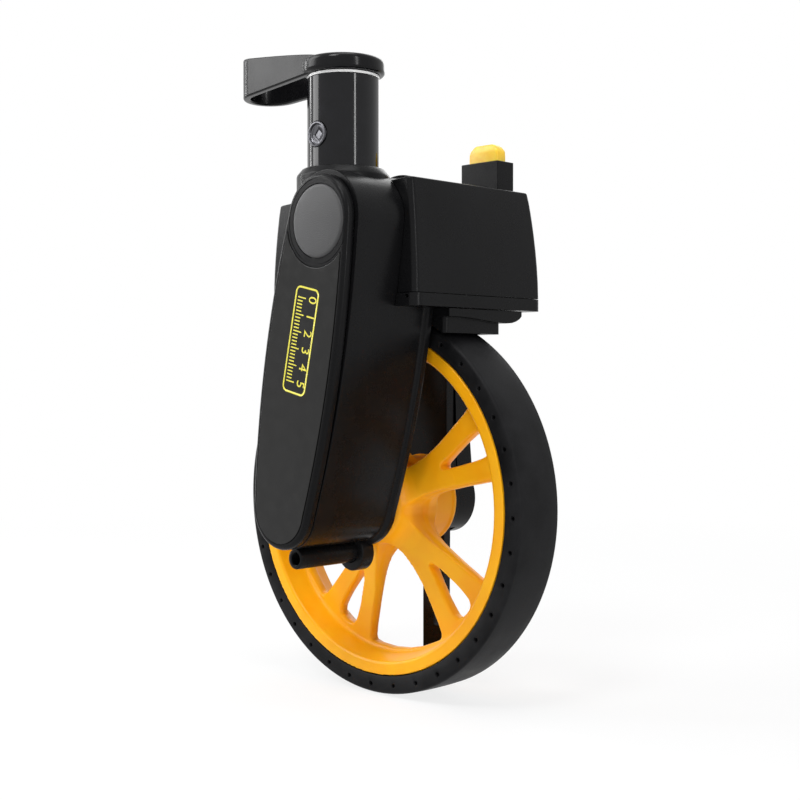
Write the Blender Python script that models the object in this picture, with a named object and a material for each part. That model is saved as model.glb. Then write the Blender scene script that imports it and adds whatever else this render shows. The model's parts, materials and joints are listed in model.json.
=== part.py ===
# A measuring wheel for pacing out distances: one wheel, a gear train, a counter and a telescopic handle.
# Metres. +X is the way it rolls, +Z is up, and -Y is the side of the gear case.
# Pieces are drawn about the wheel's axle and hang from one empty that puts the hand hold at the origin.

import math

import bmesh
import bpy
from mathutils import Matrix, Vector

for old in list(bpy.data.objects):
    bpy.data.objects.remove(old, do_unlink=True)

# Clearances
fit_gap = 0.0003
running_gap = 0.0004
cut_overrun = 0.002
axial_gap = 0.0004

# Wheel and tyre
wheel_circumference = 0.5
wheel_radius = wheel_circumference / (2 * math.pi)
tyre_width = 0.024
tyre_depth = 0.0078
tyre_edge = 0.0011
tyre_hole_radius = 0.0008
tyre_hole_depth = 0.0012
tyre_hole_count = 36
tyre_hole_first_angle = math.radians(9.2)
rim_thickness = 0.0053
rim_shoulder = 0.0026
web_rim_thickness = 0.006
web_hub_thickness = 0.008
hub_radius = 0.0185
hub_nose_radius = 0.0135
hub_flare = 0.0037
hub_far_reach = 0.0195
spoke_count = 5
spoke_first_angle = math.radians(27)
window_inner_radius = 0.0196
window_rim_margin = 0.0021
window_half_angle = math.radians(19)
drop_inner_radius = 0.0344
drop_outer_radius = 0.0594
drop_half_width = 0.0052
hole_flare = 0.0014
bush_wall = 0.0022
bush_length = 0.006

# Axle
axle_radius = 0.003
axle_head_radius = 0.0055
axle_head_length = 0.0025
nut_radius = 0.0052
nut_length = 0.0026

# Gear case, its lips and its cover
case_inner_y = -0.015
case_tube_room = 0.0047
case_wall = 0.0025
case_back_wall = 0.0025
case_gear_wall = 0.0014
case_bottom_centre = (-0.001, 0.001)
case_top_centre = (0.0208, 0.1123)
case_front_bulge = 0.0036
case_rear_bulge = 0.004
flange_proud = 0.002
flange_depth = 0.003
cover_depth = 0.004
cover_edge = 0.0022
cover_top_trim = 0.0019
panel_margin = 0.0026
panel_thickness = 0.0008
panel_recess = 0.0008
badge_radius = 0.014
badge_thickness = 0.0011
badge_ring = 0.0034
badge_drop = 0.001

# Gear train
gear_module = 0.0014
gear_addendum_share = 0.8
gear_dedendum_share = 1.15
gear_backlash = 0.0003
pressure_angle = math.radians(20)
drive_teeth = 10
idler_teeth = 20
counter_teeth = 20
idler_count = 3
gear_width = 0.0045
gear_lean = math.radians(10.9)
drive_sleeve_radius = 0.005
idler_pin_radius = 0.002
idler_pin_head_radius = 0.0034
idler_pin_head_length = 0.0007
carrier_thickness = 0.0017
pillar_radius = 0.0017
pillar_ring_radius = 0.0116
pillar_spread = math.radians(72)
pillar_screw_radius = 0.0008
pillar_screw_head_radius = 0.0017
pillar_screw_head_length = 0.0012
gear_far_y = case_inner_y - case_back_wall - 2 * axial_gap
gear_near_y = gear_far_y - gear_width

# Counter housing
housing_rear_x = -0.038
housing_front_x = 0.0465
housing_near_y = -0.0345
housing_far_y = 0.0412
housing_bottom_z = 0.0849
housing_rear_top_z = 0.1232
housing_front_top_z = 0.1285
housing_front_draft = 0.0045
housing_side_draft = 0.002
housing_swell_share = 0.28
housing_wall = 0.0018
housing_corner = 0.0024
base_corner = 0.004
base_thickness = 0.0049
base_proud = 0.0008
window_length = 0.022
window_rear_x = 0.0085
window_near_y = -0.0105
lens_thickness = 0.0016

# Counter
shaft_radius = 0.002
drum_count = 5
drum_radius = 0.0132
drum_pitch = 0.0061
drum_digit_count = 10
first_drum_y = -0.0108
frame_sheet = 0.0015
frame_length = 0.02
frame_foot_length = 0.0085

# Reset button
collar_rear_x = 0.017
collar_front_x = 0.036
collar_near_y = 0.025
collar_far_y = 0.034
collar_top_z = 0.1395
collar_wall = 0.0019
button_top_z = 0.148
button_chamfer = 0.003
button_stem_radius = 0.0018
button_travel = 0.004
stem_clip_radius = 0.0032
stem_clip_thickness = 0.0014
spring_radius = 0.0026
spring_wire_radius = 0.00035
spring_turns = 5
spring_length = 0.0095
spring_post_radius = 0.0038

# Handle tubes
tube_radius = 0.0143
tube_axis = (0.011, gear_near_y - axial_gap - idler_pin_head_length - fit_gap - tube_radius)
tube_wall = 0.0014
tube_bottom_z = 0.038
tube_top_z = 0.1696
socket_wall = 0.0042
socket_radius = tube_radius + socket_wall
socket_bottom_z = 0.086
socket_top_z = 0.134
socket_chamfer = 0.0037
guide_wall = 0.0012
guide_length = 0.032
middle_wall = 0.0008
middle_foot_length = 0.003
inner_wall = 0.0012
plug_flange = 0.0032
plug_spigot = 0.008
inner_tube_reach = 0.0049
tube_screw_z = 0.1465
tube_screw_radius = 0.0049
tube_screw_ring = 0.0008
tube_screw_sink = 0.0007
tube_screw_square = 0.0032
tube_screw_stem_radius = 0.0022

# The gear case is as wide and as deep as the tube in it needs
case_foot_wall = 0.0022
case_socket_step = 0.0005
case_bottom_radius = tube_radius + case_foot_wall
case_top_radius = socket_radius + case_socket_step
case_near_y = tube_axis[1] - tube_radius - case_tube_room

# Loop grip on the inner tube
grip_overhang = 0.0021
grip_collar_radius = tube_radius + grip_overhang
grip_gap = 0.0013
grip_collar_height = 0.0062
grip_dome = 0.0012
loop_end_x = -0.0445
loop_end_radius = 0.0122
loop_root_half_width = tube_radius + fit_gap
loop_band = 0.0031
loop_bottom_z = 0.1672
loop_root_top_z = 0.177
loop_end_top_z = 0.1847

# Hollow cross pin under the gear case
sleeve_radius = 0.0042
sleeve_x = -0.0035
sleeve_axis = (sleeve_x, case_bottom_centre[1] - case_bottom_radius - running_gap - sleeve_radius)
sleeve_bore_radius = 0.0025
sleeve_near_y = -0.0514
ear_radius = 0.0078
ear_depth = 0.0065

# Fender over the tyre
fender_rear_x = 0.02
fender_front_x = 0.046
fender_near_y = -0.0147
fender_far_y = 0.0295
fender_band_depth = 0.0052
fender_skirt_front_x = 0.0435
fender_skirt_far_y = 0.019
fender_skirt_bottom_z = 0.0697
fender_tread_gap = 0.0016
fender_corner = 0.002

# Far arm and kickstand
arm_plate_thickness = 0.0048
arm_boss_radius = 0.016
arm_rear_x = -0.013
arm_front_x = 0.0125
arm_waist_z = 0.03
arm_cover_depth = 0.01
arm_cover_wall = 0.0022
arm_cover_inset = 0.0004
leg_thickness = 0.004
leg_eye_radius = 0.008
leg_width = 0.0125
leg_shoulder_z = -0.028
leg_end_z = -0.0735
leg_slot_width = 0.003
leg_slot_x = 0.0015
leg_slot_top_z = -0.03
leg_slot_bottom_z = -0.056
leg_swing_rear = math.radians(90)
leg_swing_front = math.radians(5)
foot_bottom_z = -0.0793
foot_overlap = 0.006
foot_wall = 0.0018
foot_spread = 0.006

# The hand holds the outer tube halfway between its socket and its top
hand_hold = Vector((tube_axis[0], tube_axis[1], (socket_top_z + tube_top_z) / 2))

round_segments = 32
small_segments = 16
fine_segments = 72

product = bpy.data.objects.new("product", None)
product.location = -hand_hold
bpy.context.scene.collection.objects.link(product)


def make_material(name, colour, roughness, metallic=0.0):
    material = bpy.data.materials.new(name)
    material.use_nodes = True
    shader = material.node_tree.nodes["Principled BSDF"]
    shader.inputs["Base Color"].default_value = (*colour, 1.0)
    shader.inputs["Roughness"].default_value = roughness
    shader.inputs["Metallic"].default_value = metallic
    material.diffuse_color = (*colour, 1.0)
    return material


satin_black = make_material("satin_black", (0.018, 0.018, 0.019), 0.38)
gloss_black = make_material("gloss_black", (0.012, 0.012, 0.013), 0.14)
label_black = make_material("label_black", (0.02, 0.02, 0.021), 0.1)
wheel_orange = make_material("wheel_orange", (0.95, 0.36, 0.02), 0.35)
tyre_rubber = make_material("tyre_rubber", (0.022, 0.022, 0.023), 0.62)
button_yellow = make_material("button_yellow", (0.95, 0.52, 0.03), 0.3)
gear_plastic = make_material("gear_plastic", (0.75, 0.74, 0.7), 0.45)
drum_white = make_material("drum_white", (0.86, 0.86, 0.84), 0.4)
steel = make_material("steel", (0.55, 0.56, 0.58), 0.3, 1.0)
bright_tube = make_material("bright_tube", (0.82, 0.83, 0.85), 0.18, 1.0)
clear_lens = make_material("clear_lens", (0.85, 0.87, 0.88), 0.05)


def swing_to(axis):
    # Turns a shape drawn about Z so that it runs along the named axis
    if axis == "Y":
        return Matrix.Rotation(-math.pi / 2, 4, "X")
    if axis == "X":
        return Matrix.Rotation(math.pi / 2, 4, "Y")
    return Matrix.Identity(4)


def turned(profile, axis, centre, segments=round_segments):
    # A solid of revolution; the profile is (radius, distance along the axis) all the way round
    shape = bmesh.new()
    rings = []
    for radius, along in profile:
        count = segments if radius > 0 else 1
        ring = []
        for step in range(count):
            angle = 2 * math.pi * step / segments
            ring.append(shape.verts.new((radius * math.cos(angle), radius * math.sin(angle), along)))
        rings.append(ring)
    pairs = list(zip(rings, rings[1:]))
    if len(rings[0]) > 1 and len(rings[-1]) > 1:
        pairs.append((rings[-1], rings[0]))
    for first, second in pairs:
        for step in range(segments):
            after = (step + 1) % segments
            corners = []
            for corner in (first[step % len(first)], first[after % len(first)],
                           second[after % len(second)], second[step % len(second)]):
                if corner not in corners:
                    corners.append(corner)
            if len(corners) > 2:
                shape.faces.new(corners)
    bmesh.ops.transform(shape, matrix=Matrix.Translation(Vector(centre)) @ swing_to(axis), verts=shape.verts)
    bmesh.ops.recalc_face_normals(shape, faces=shape.faces)
    return shape


def rod(radius, low, high, axis, centre, segments=round_segments):
    return turned([(0, low), (radius, low), (radius, high), (0, high)], axis, centre, segments)


def pipe(outer, inner, low, high, axis, centre, segments=round_segments):
    return turned([(inner, low), (outer, low), (outer, high), (inner, high)], axis, centre, segments)


def slab(outline, low, high, axis="Y"):
    # A flat outline pulled from low to high; outlines are (X, Z) along Y, (X, Y) along Z and (Y, Z) along X
    place = {"X": lambda a, b, c: (c, a, b), "Y": lambda a, b, c: (a, c, b), "Z": lambda a, b, c: (a, b, c)}[axis]
    shape = bmesh.new()
    lower = [shape.verts.new(place(a, b, low)) for a, b in outline]
    upper = [shape.verts.new(place(a, b, high)) for a, b in outline]
    count = len(outline)
    for step in range(count):
        after = (step + 1) % count
        shape.faces.new((lower[step], lower[after], upper[after], upper[step]))
    shape.faces.new(lower[::-1])
    shape.faces.new(upper)
    bmesh.ops.recalc_face_normals(shape, faces=shape.faces)
    return shape


def merge(*shapes):
    # Several shapes in one mesh, for cutters made of separate bodies
    whole = bmesh.new()
    for shape in shapes:
        holder = bpy.data.meshes.new("holder")
        shape.to_mesh(holder)
        whole.from_mesh(holder)
        bpy.data.meshes.remove(holder)
        shape.free()
    return whole


def add_object(name, shape, pivot=(0, 0, 0)):
    mesh = bpy.data.meshes.new(name)
    bmesh.ops.translate(shape, vec=-Vector(pivot), verts=shape.verts)
    shape.to_mesh(mesh)
    shape.free()
    mesh.shade_smooth()
    mesh.set_sharp_from_angle(angle=math.radians(35))
    piece = bpy.data.objects.new(name, mesh)
    piece.location = pivot
    piece.parent = product
    bpy.context.scene.collection.objects.link(piece)
    return piece


def add_piece(name, shape, material, pivot=(0, 0, 0)):
    piece = add_object(name, shape, pivot)
    piece.data.materials.append(material)
    return piece


def reshape(piece, tool_shape, operation):
    tool = add_object(piece.name + "_tool_" + str(len(piece.modifiers)), tool_shape, piece.location)
    tool.hide_render = True
    tool.display_type = "WIRE"
    step = piece.modifiers.new(operation.lower(), "BOOLEAN")
    step.operation = operation
    step.solver = "EXACT"
    step.object = tool
    return tool


def cut(piece, *tool_shapes):
    for tool_shape in tool_shapes:
        reshape(piece, tool_shape, "DIFFERENCE")


def fuse(piece, *tool_shapes):
    for tool_shape in tool_shapes:
        reshape(piece, tool_shape, "UNION")


def soften(piece, width, segments=2):
    bevel = piece.modifiers.new("edges", "BEVEL")
    bevel.width = width
    bevel.segments = segments
    bevel.limit_method = "ANGLE"
    bevel.angle_limit = math.radians(50)


def polar(radius, angle, centre=(0, 0)):
    return centre[0] + radius * math.cos(angle), centre[1] + radius * math.sin(angle)


def arc(centre, radius, first, last, steps):
    return [polar(radius, first + (last - first) * step / steps, centre) for step in range(steps + 1)]


def rounded_rectangle(low_a, high_a, low_b, high_b, corner, steps=3):
    quarter = math.pi / 2
    outline = []
    centres = ((high_a - corner, high_b - corner), (low_a + corner, high_b - corner),
               (low_a + corner, low_b + corner), (high_a - corner, low_b + corner))
    for turn, centre in enumerate(centres):
        outline += arc(centre, corner, quarter * turn, quarter * (turn + 1), steps)
    return outline


# The gear case's outline: two round ends, with sides that swell between them
def case_outline(grow=0.0, top_trim=0.0, side_steps=7, end_steps=12):
    bottom = Vector(case_bottom_centre)
    top = Vector(case_top_centre)
    along = (top - bottom).normalized()
    front = Vector((along.y, -along.x))
    bottom_radius = case_bottom_radius + grow
    top_radius = case_top_radius - top_trim + grow
    lean = math.atan2(front.y, front.x)
    points = arc(bottom, bottom_radius, lean - math.pi, lean, end_steps)
    for side, bulge in ((1, case_front_bulge), (-1, case_rear_bulge)):
        stretch = []
        for step in range(1, side_steps):
            share = step / side_steps
            half = bottom_radius + (top_radius - bottom_radius) * share + bulge * 4 * share * (1 - share)
            stretch.append(tuple(bottom + (top - bottom) * share + front * side * half))
        if side == 1:
            points += stretch + arc(top, top_radius, lean, lean + math.pi, end_steps)
        else:
            points += stretch[::-1]
    return points


cover_near_y = case_near_y - fit_gap - cover_depth
rim_radius = wheel_radius - tyre_depth - fit_gap
rim_inner_radius = rim_radius - rim_thickness
web_outer_radius = rim_inner_radius - rim_shoulder
half_width = tyre_width / 2
hub_near_y = case_inner_y + 3 * axial_gap
bush_radius = axle_radius + fit_gap + bush_wall
arm_plate_near_y = hub_far_reach + axial_gap
arm_plate_far_y = arm_plate_near_y + arm_plate_thickness


# Wheel, turned as one rim, web and hub, then cut through between and inside its double spokes
def wheel_profile():
    web_rim = web_rim_thickness / 2
    web_hub = web_hub_thickness / 2
    flare_radius = (hub_radius + window_inner_radius) / 2
    bore = axle_radius + running_gap
    seat = bush_radius + fit_gap
    return [
        (bore, hub_near_y + bush_length),
        (seat, hub_near_y + bush_length),
        (seat, hub_near_y),
        (hub_nose_radius, hub_near_y),
        (hub_radius, hub_near_y + (half_width - web_hub) / 2),
        (flare_radius + hub_flare, -web_hub - hub_flare / 2),
        (drop_inner_radius, -(web_rim + web_hub) / 2),
        (web_outer_radius, -web_rim),
        (rim_inner_radius, -half_width),
        (rim_radius, -half_width),
        (rim_radius, half_width),
        (rim_inner_radius, half_width),
        (web_outer_radius, web_rim),
        (drop_inner_radius, web_rim),
        (flare_radius, web_hub),
        (hub_radius, web_hub + hub_flare),
        (hub_radius, hub_far_reach),
        (seat, hub_far_reach),
        (seat, hub_far_reach - bush_length),
        (bore, hub_far_reach - bush_length),
    ]


# Shares of the way out from the inner end, and of the half angle, down one side of a big window
window_side_shares = ((0.0, 0.0), (0.035, 0.3), (0.1, 0.62), (0.22, 0.86), (0.42, 0.98), (0.7, 1.0),
                      (0.93, 1.0), (0.985, 0.93), (1.0, 0.8), (1.0, 0.4), (1.0, 0.0))
# Shares of the length from the sharp end, and of the half width, down one side of a teardrop hole
drop_side_shares = ((0.0, 0.0), (0.05, 0.22), (0.25, 0.44), (0.5, 0.72), (0.72, 0.96), (0.84, 1.0),
                    (0.94, 0.78), (0.99, 0.35), (1.0, 0.0))


def flared_hole(outline, middle):
    # Narrowest halfway through the web and wider at both its faces, so that the spokes come out rounded
    shape = bmesh.new()
    rings = []
    web_hub = web_hub_thickness / 2
    for y, flare in ((-half_width, hole_flare), (-web_hub, hole_flare), (0, 0), (web_hub, hole_flare),
                     (half_width, hole_flare)):
        ring = []
        for point in outline:
            away = Vector(point) - Vector(middle)
            x, z = Vector(point) + away.normalized() * flare
            ring.append(shape.verts.new((x, y, z)))
        rings.append(ring)
    for first, second in zip(rings, rings[1:]):
        for step in range(len(outline)):
            after = (step + 1) % len(outline)
            shape.faces.new((first[step], first[after], second[after]))
            shape.faces.new((first[step], second[after], second[step]))
    shape.faces.new(rings[0][::-1])
    shape.faces.new(rings[-1])
    bmesh.ops.recalc_face_normals(shape, faces=shape.faces)
    return shape


def window_cutter(middle_angle):
    window_outer_radius = web_outer_radius - window_rim_margin
    sides = []
    for side in (1, -1):
        stretch = []
        for out_share, angle_share in window_side_shares:
            radius = window_inner_radius + (window_outer_radius - window_inner_radius) * out_share
            stretch.append(polar(radius, middle_angle + side * window_half_angle * angle_share))
        sides.append(stretch)
    middle = polar((window_inner_radius + window_outer_radius) / 2, middle_angle)
    return flared_hole(sides[0] + sides[1][-2:0:-1], middle)


def drop_cutter(middle_angle):
    out = Vector((math.cos(middle_angle), math.sin(middle_angle)))
    across = Vector((-out.y, out.x))
    sides = []
    for side in (1, -1):
        stretch = []
        for out_share, width_share in drop_side_shares:
            reach = drop_inner_radius + (drop_outer_radius - drop_inner_radius) * out_share
            stretch.append(tuple(out * reach + across * side * drop_half_width * width_share))
        sides.append(stretch)
    return flared_hole(sides[0] + sides[1][-2:0:-1], out * (drop_inner_radius + drop_outer_radius) / 2)


def build_wheel():
    wheel = add_piece("wheel", turned(wheel_profile(), "Y", (0, 0, 0), fine_segments), wheel_orange)
    cutters = []
    sector = 2 * math.pi / spoke_count
    for spoke in range(spoke_count):
        angle = spoke_first_angle + sector * spoke
        cutters.append(drop_cutter(angle))
        cutters.append(window_cutter(angle + sector / 2))
    cut(wheel, merge(*cutters))
    bush = pipe(bush_radius, axle_radius + running_gap, hub_far_reach - bush_length + fit_gap, hub_far_reach,
                "Y", (0, 0, 0), small_segments)
    add_piece("wheel_bush", bush, gear_plastic)


def build_tyre():
    seat = rim_radius + fit_gap
    profile = [
        (seat, -half_width),
        (wheel_radius - tyre_edge, -half_width),
        (wheel_radius, -half_width + tyre_edge),
        (wheel_radius, half_width - tyre_edge),
        (wheel_radius - tyre_edge, half_width),
        (seat, half_width),
    ]
    tyre = add_piece("tyre", turned(profile, "Y", (0, 0, 0), fine_segments), tyre_rubber)
    hole_ring_radius = (seat + wheel_radius) / 2
    holes = []
    for hole in range(tyre_hole_count):
        x, z = polar(hole_ring_radius, tyre_hole_first_angle + 2 * math.pi * hole / tyre_hole_count)
        for side in (-1, 1):
            floor = side * (half_width - tyre_hole_depth)
            mouth = side * (half_width + cut_overrun)
            holes.append(rod(tyre_hole_radius, min(floor, mouth), max(floor, mouth), "Y", (x, 0, z), 6))
    cut(tyre, merge(*holes))


# Gears: each tooth side is a root, a pitch and a tip point, the last two on the involute
def gear_outline(teeth, centre, first_tooth_angle):
    pitch_radius = gear_module * teeth / 2
    base_radius = pitch_radius * math.cos(pressure_angle)
    root_radius = pitch_radius - gear_module * gear_dedendum_share
    tip_radius = pitch_radius + gear_module * gear_addendum_share

    def involute(angle):
        return math.tan(angle) - angle

    def half_tooth(radius):
        rolled = math.acos(min(1.0, base_radius / radius))
        pitch_half = math.pi / 2 / teeth - gear_backlash / 4 / pitch_radius
        return pitch_half + involute(pressure_angle) - involute(rolled)

    outline = []
    for tooth in range(teeth):
        middle = first_tooth_angle + 2 * math.pi * tooth / teeth
        for side, radii in ((-1, (root_radius, pitch_radius, tip_radius)),
                            (1, (tip_radius, pitch_radius, root_radius))):
            for radius in radii:
                outline.append(polar(radius, middle + side * half_tooth(radius), centre))
    return outline


train_angle = math.pi / 2 - gear_lean
drive_pitch_radius = gear_module * drive_teeth / 2
idler_pitch_radius = gear_module * idler_teeth / 2
counter_pitch_radius = gear_module * counter_teeth / 2


def idler_centre(number):
    return polar(drive_pitch_radius + idler_pitch_radius * (2 * number - 1), train_angle)


shaft_centre = polar(drive_pitch_radius + idler_pitch_radius * 2 * idler_count + counter_pitch_radius, train_angle)


def first_tooth_angles():
    # Each gear turns a gap to the tooth, or a tooth to the gap, that the gear before shows it
    angles = []
    shift = 0.0
    for teeth in (*[idler_teeth] * idler_count, counter_teeth):
        shift = 0.5 - shift
        angles.append(train_angle + math.pi + 2 * math.pi * shift / teeth)
        shift = (shift + teeth / 2) % 1.0
    return angles


def build_gears():
    drive = slab(gear_outline(drive_teeth, (0, 0), train_angle), gear_near_y, gear_far_y)
    drive_gear = add_piece("drive_gear", drive, gear_plastic)
    sleeve_far_y = hub_near_y + bush_length - fit_gap
    fuse(drive_gear, rod(drive_sleeve_radius, gear_far_y - gear_width / 4, sleeve_far_y, "Y", (0, 0, 0),
                         small_segments))
    cut(drive_gear, rod(axle_radius + running_gap, gear_near_y - cut_overrun, sleeve_far_y + cut_overrun,
                        "Y", (0, 0, 0), small_segments))
    tooth_angles = first_tooth_angles()
    pin_far_y = case_inner_y - fit_gap
    head_far_y = gear_near_y - axial_gap
    for number in range(1, idler_count + 1):
        x, z = idler_centre(number)
        outline = gear_outline(idler_teeth, (x, z), tooth_angles[number - 1])
        idler = add_piece("idler_gear_" + str(number), slab(outline, gear_near_y, gear_far_y), gear_plastic,
                          (x, 0, z))
        cut(idler, rod(idler_pin_radius + running_gap, gear_near_y - cut_overrun, gear_far_y + cut_overrun,
                       "Y", (x, 0, z), small_segments))
        pin = turned([(0, head_far_y - idler_pin_head_length),
                      (idler_pin_head_radius, head_far_y - idler_pin_head_length),
                      (idler_pin_head_radius, head_far_y), (idler_pin_radius, head_far_y),
                      (idler_pin_radius, pin_far_y), (0, pin_far_y)], "Y", (x, 0, z), small_segments)
        add_piece("idler_pin_" + str(number), pin, steel)
    outline = gear_outline(counter_teeth, shaft_centre, tooth_angles[-1])
    pivot = (shaft_centre[0], 0, shaft_centre[1])
    counter_gear = add_piece("counter_gear", slab(outline, gear_near_y, gear_far_y), gear_plastic, pivot)
    cut(counter_gear, rod(shaft_radius + fit_gap, gear_near_y - cut_overrun, gear_far_y + cut_overrun, "Y",
                          pivot, small_segments))


carrier_far_y = gear_near_y - idler_pin_head_length - 2 * axial_gap
carrier_near_y = carrier_far_y - carrier_thickness


def pillar_places():
    middle = train_angle + math.pi
    return [polar(pillar_ring_radius, middle + pillar_spread * step, case_bottom_centre) for step in (-1, 0, 1)]


# Axle, the plate that holds its near end, and its nut
def build_axle():
    head_near_y = carrier_near_y - fit_gap - axle_head_length
    axle_far_y = arm_plate_far_y + leg_thickness + 2 * axial_gap + nut_length
    axle = turned([(0, head_near_y), (axle_head_radius, head_near_y),
                   (axle_head_radius, head_near_y + axle_head_length),
                   (axle_radius, head_near_y + axle_head_length),
                   (axle_radius, axle_far_y), (0, axle_far_y)], "Y", (0, 0, 0), small_segments)
    add_piece("axle", axle, steel)
    nut_near_y = arm_plate_far_y + leg_thickness + 2 * axial_gap
    nut = add_piece("axle_nut", rod(nut_radius, nut_near_y, nut_near_y + nut_length, "Y", (0, 0, 0), 6), steel)
    cut(nut, rod(axle_radius + fit_gap, nut_near_y - cut_overrun, axle_far_y + cut_overrun, "Y", (0, 0, 0),
                 small_segments))
    carrier_radius = case_bottom_radius - case_wall - fit_gap
    plate = add_piece("axle_carrier", rod(carrier_radius, carrier_near_y, carrier_far_y, "Y",
                                          (case_bottom_centre[0], 0, case_bottom_centre[1])), steel)
    holes = [rod(axle_radius + fit_gap, carrier_near_y - cut_overrun, carrier_far_y + cut_overrun, "Y",
                 (0, 0, 0), small_segments)]
    head_far_y = carrier_near_y - fit_gap
    for number, (x, z) in enumerate(pillar_places(), 1):
        holes.append(rod(pillar_screw_radius + fit_gap, carrier_near_y - cut_overrun,
                         carrier_far_y + cut_overrun, "Y", (x, 0, z), small_segments))
        screw = turned([(0, head_far_y - pillar_screw_head_length),
                        (pillar_screw_head_radius, head_far_y - pillar_screw_head_length),
                        (pillar_screw_head_radius, head_far_y), (pillar_screw_radius, head_far_y),
                        (pillar_screw_radius, carrier_far_y + gear_width / 2),
                        (0, carrier_far_y + gear_width / 2)], "Y", (x, 0, z), small_segments)
        add_piece("carrier_screw_" + str(number), screw, steel)
    cut(plate, merge(*holes))


# Gear case: a shell open towards its cover, with the socket that takes the handle tube
def build_gear_case():
    case = add_piece("gear_case", slab(case_outline(), case_near_y, case_inner_y), satin_black)
    cavity_far_y = case_inner_y - case_back_wall
    cut(case, slab(case_outline(-case_wall), case_near_y - cut_overrun, cavity_far_y))
    bore_radius = tube_radius + fit_gap
    plug_low_z = tube_bottom_z - plug_flange - fit_gap
    cut(case, rod(bore_radius + fit_gap, plug_low_z - fit_gap, socket_bottom_z + socket_chamfer, "Z",
                  (*tube_axis, 0)))
    cut(case, rod((bore_radius + socket_radius) / 2, socket_bottom_z + socket_chamfer / 2,
                  socket_top_z + cut_overrun, "Z", (*tube_axis, 0)))
    socket = turned([(bore_radius, socket_bottom_z), (bore_radius + guide_wall, socket_bottom_z),
                     (socket_radius, socket_bottom_z + socket_chamfer),
                     (socket_radius, socket_top_z - socket_chamfer),
                     (bore_radius + guide_wall, socket_top_z), (bore_radius, socket_top_z)],
                    "Z", (*tube_axis, 0))
    fuse(case, socket)
    cut(case, slab(case_outline(-case_gear_wall), gear_near_y - axial_gap - idler_pin_head_length - fit_gap,
                   cavity_far_y))
    fuse(case, slab(case_outline(flange_proud), case_inner_y - flange_depth, case_inner_y))
    fuse(case, rod(ear_radius, case_inner_y - ear_depth, case_inner_y - fit_gap, "Y",
                   (sleeve_axis[0], 0, sleeve_axis[1])))
    pillars = []
    for x, z in pillar_places():
        pillars.append(rod(pillar_radius, carrier_far_y + fit_gap, cavity_far_y + case_back_wall / 2, "Y",
                           (x, 0, z), small_segments))
    fuse(case, merge(*pillars))
    fuse(case, rod(tube_radius, plug_low_z - plug_flange, plug_low_z - fit_gap, "Z", (*tube_axis, 0)))
    holes = [rod(drive_sleeve_radius + running_gap, cavity_far_y - cut_overrun, case_inner_y + cut_overrun,
                 "Y", (0, 0, 0), small_segments)]
    for number in range(1, idler_count + 1):
        x, z = idler_centre(number)
        holes.append(rod(idler_pin_radius + fit_gap, cavity_far_y - cut_overrun, case_inner_y + cut_overrun,
                         "Y", (x, 0, z), small_segments))
    holes.append(rod(shaft_radius + running_gap, cavity_far_y - cut_overrun, case_inner_y + cut_overrun, "Y",
                     (shaft_centre[0], 0, shaft_centre[1]), small_segments))
    holes.append(rod(sleeve_radius + fit_gap, case_inner_y - ear_depth - cut_overrun,
                     case_inner_y - flange_depth, "Y", (sleeve_axis[0], 0, sleeve_axis[1]), small_segments))
    for x, z in pillar_places():
        holes.append(rod(pillar_screw_radius + fit_gap, carrier_far_y - cut_overrun,
                         carrier_far_y + gear_width / 2 + fit_gap, "Y", (x, 0, z), small_segments))
    cut(case, merge(*holes))


def badge_centre():
    return case_top_centre[0] + badge_drop, case_top_centre[1] - badge_drop


def build_case_cover():
    far_y = case_near_y - fit_gap
    cover = add_piece("gear_case_cover", slab(case_outline(0, cover_top_trim), cover_near_y, far_y), satin_black)
    soften(cover, cover_edge)
    x, z = badge_centre()
    recess_floor = cover_near_y + panel_recess
    panel_outline = case_outline(-panel_margin, cover_top_trim)
    recess = slab(case_outline(fit_gap - panel_margin, cover_top_trim), cover_near_y - cut_overrun, recess_floor)
    recess_tool = reshape(cover, recess, "DIFFERENCE")
    ring_radius = badge_radius + badge_ring
    ring_low_y = recess_floor - cover_depth
    ring_high_y = recess_floor + cover_depth
    cut(recess_tool, rod(ring_radius, ring_low_y, ring_high_y, "Y", (x, 0, z)))
    cut(cover, rod(badge_radius + fit_gap, ring_low_y, recess_floor, "Y", (x, 0, z)))
    panel = add_piece("label_panel", slab(panel_outline, recess_floor - fit_gap - panel_thickness,
                                          recess_floor - fit_gap), label_black)
    cut(panel, rod(ring_radius + fit_gap, ring_low_y, ring_high_y, "Y", (x, 0, z)))
    badge_far_y = recess_floor - fit_gap
    add_piece("cap_disc", rod(badge_radius, badge_far_y - badge_thickness, badge_far_y, "Y", (x, 0, z)),
              satin_black)


def build_sleeve_pin():
    sleeve = pipe(sleeve_radius, sleeve_bore_radius, sleeve_near_y, case_inner_y - flange_depth - fit_gap, "Y",
                  (sleeve_axis[0], 0, sleeve_axis[1]), small_segments)
    add_piece("sleeve_pin", sleeve, satin_black)


def housing_top(x):
    share = (x - housing_rear_x) / (housing_front_x - housing_rear_x)
    return housing_rear_top_z + (housing_front_top_z - housing_rear_top_z) * share


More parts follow.
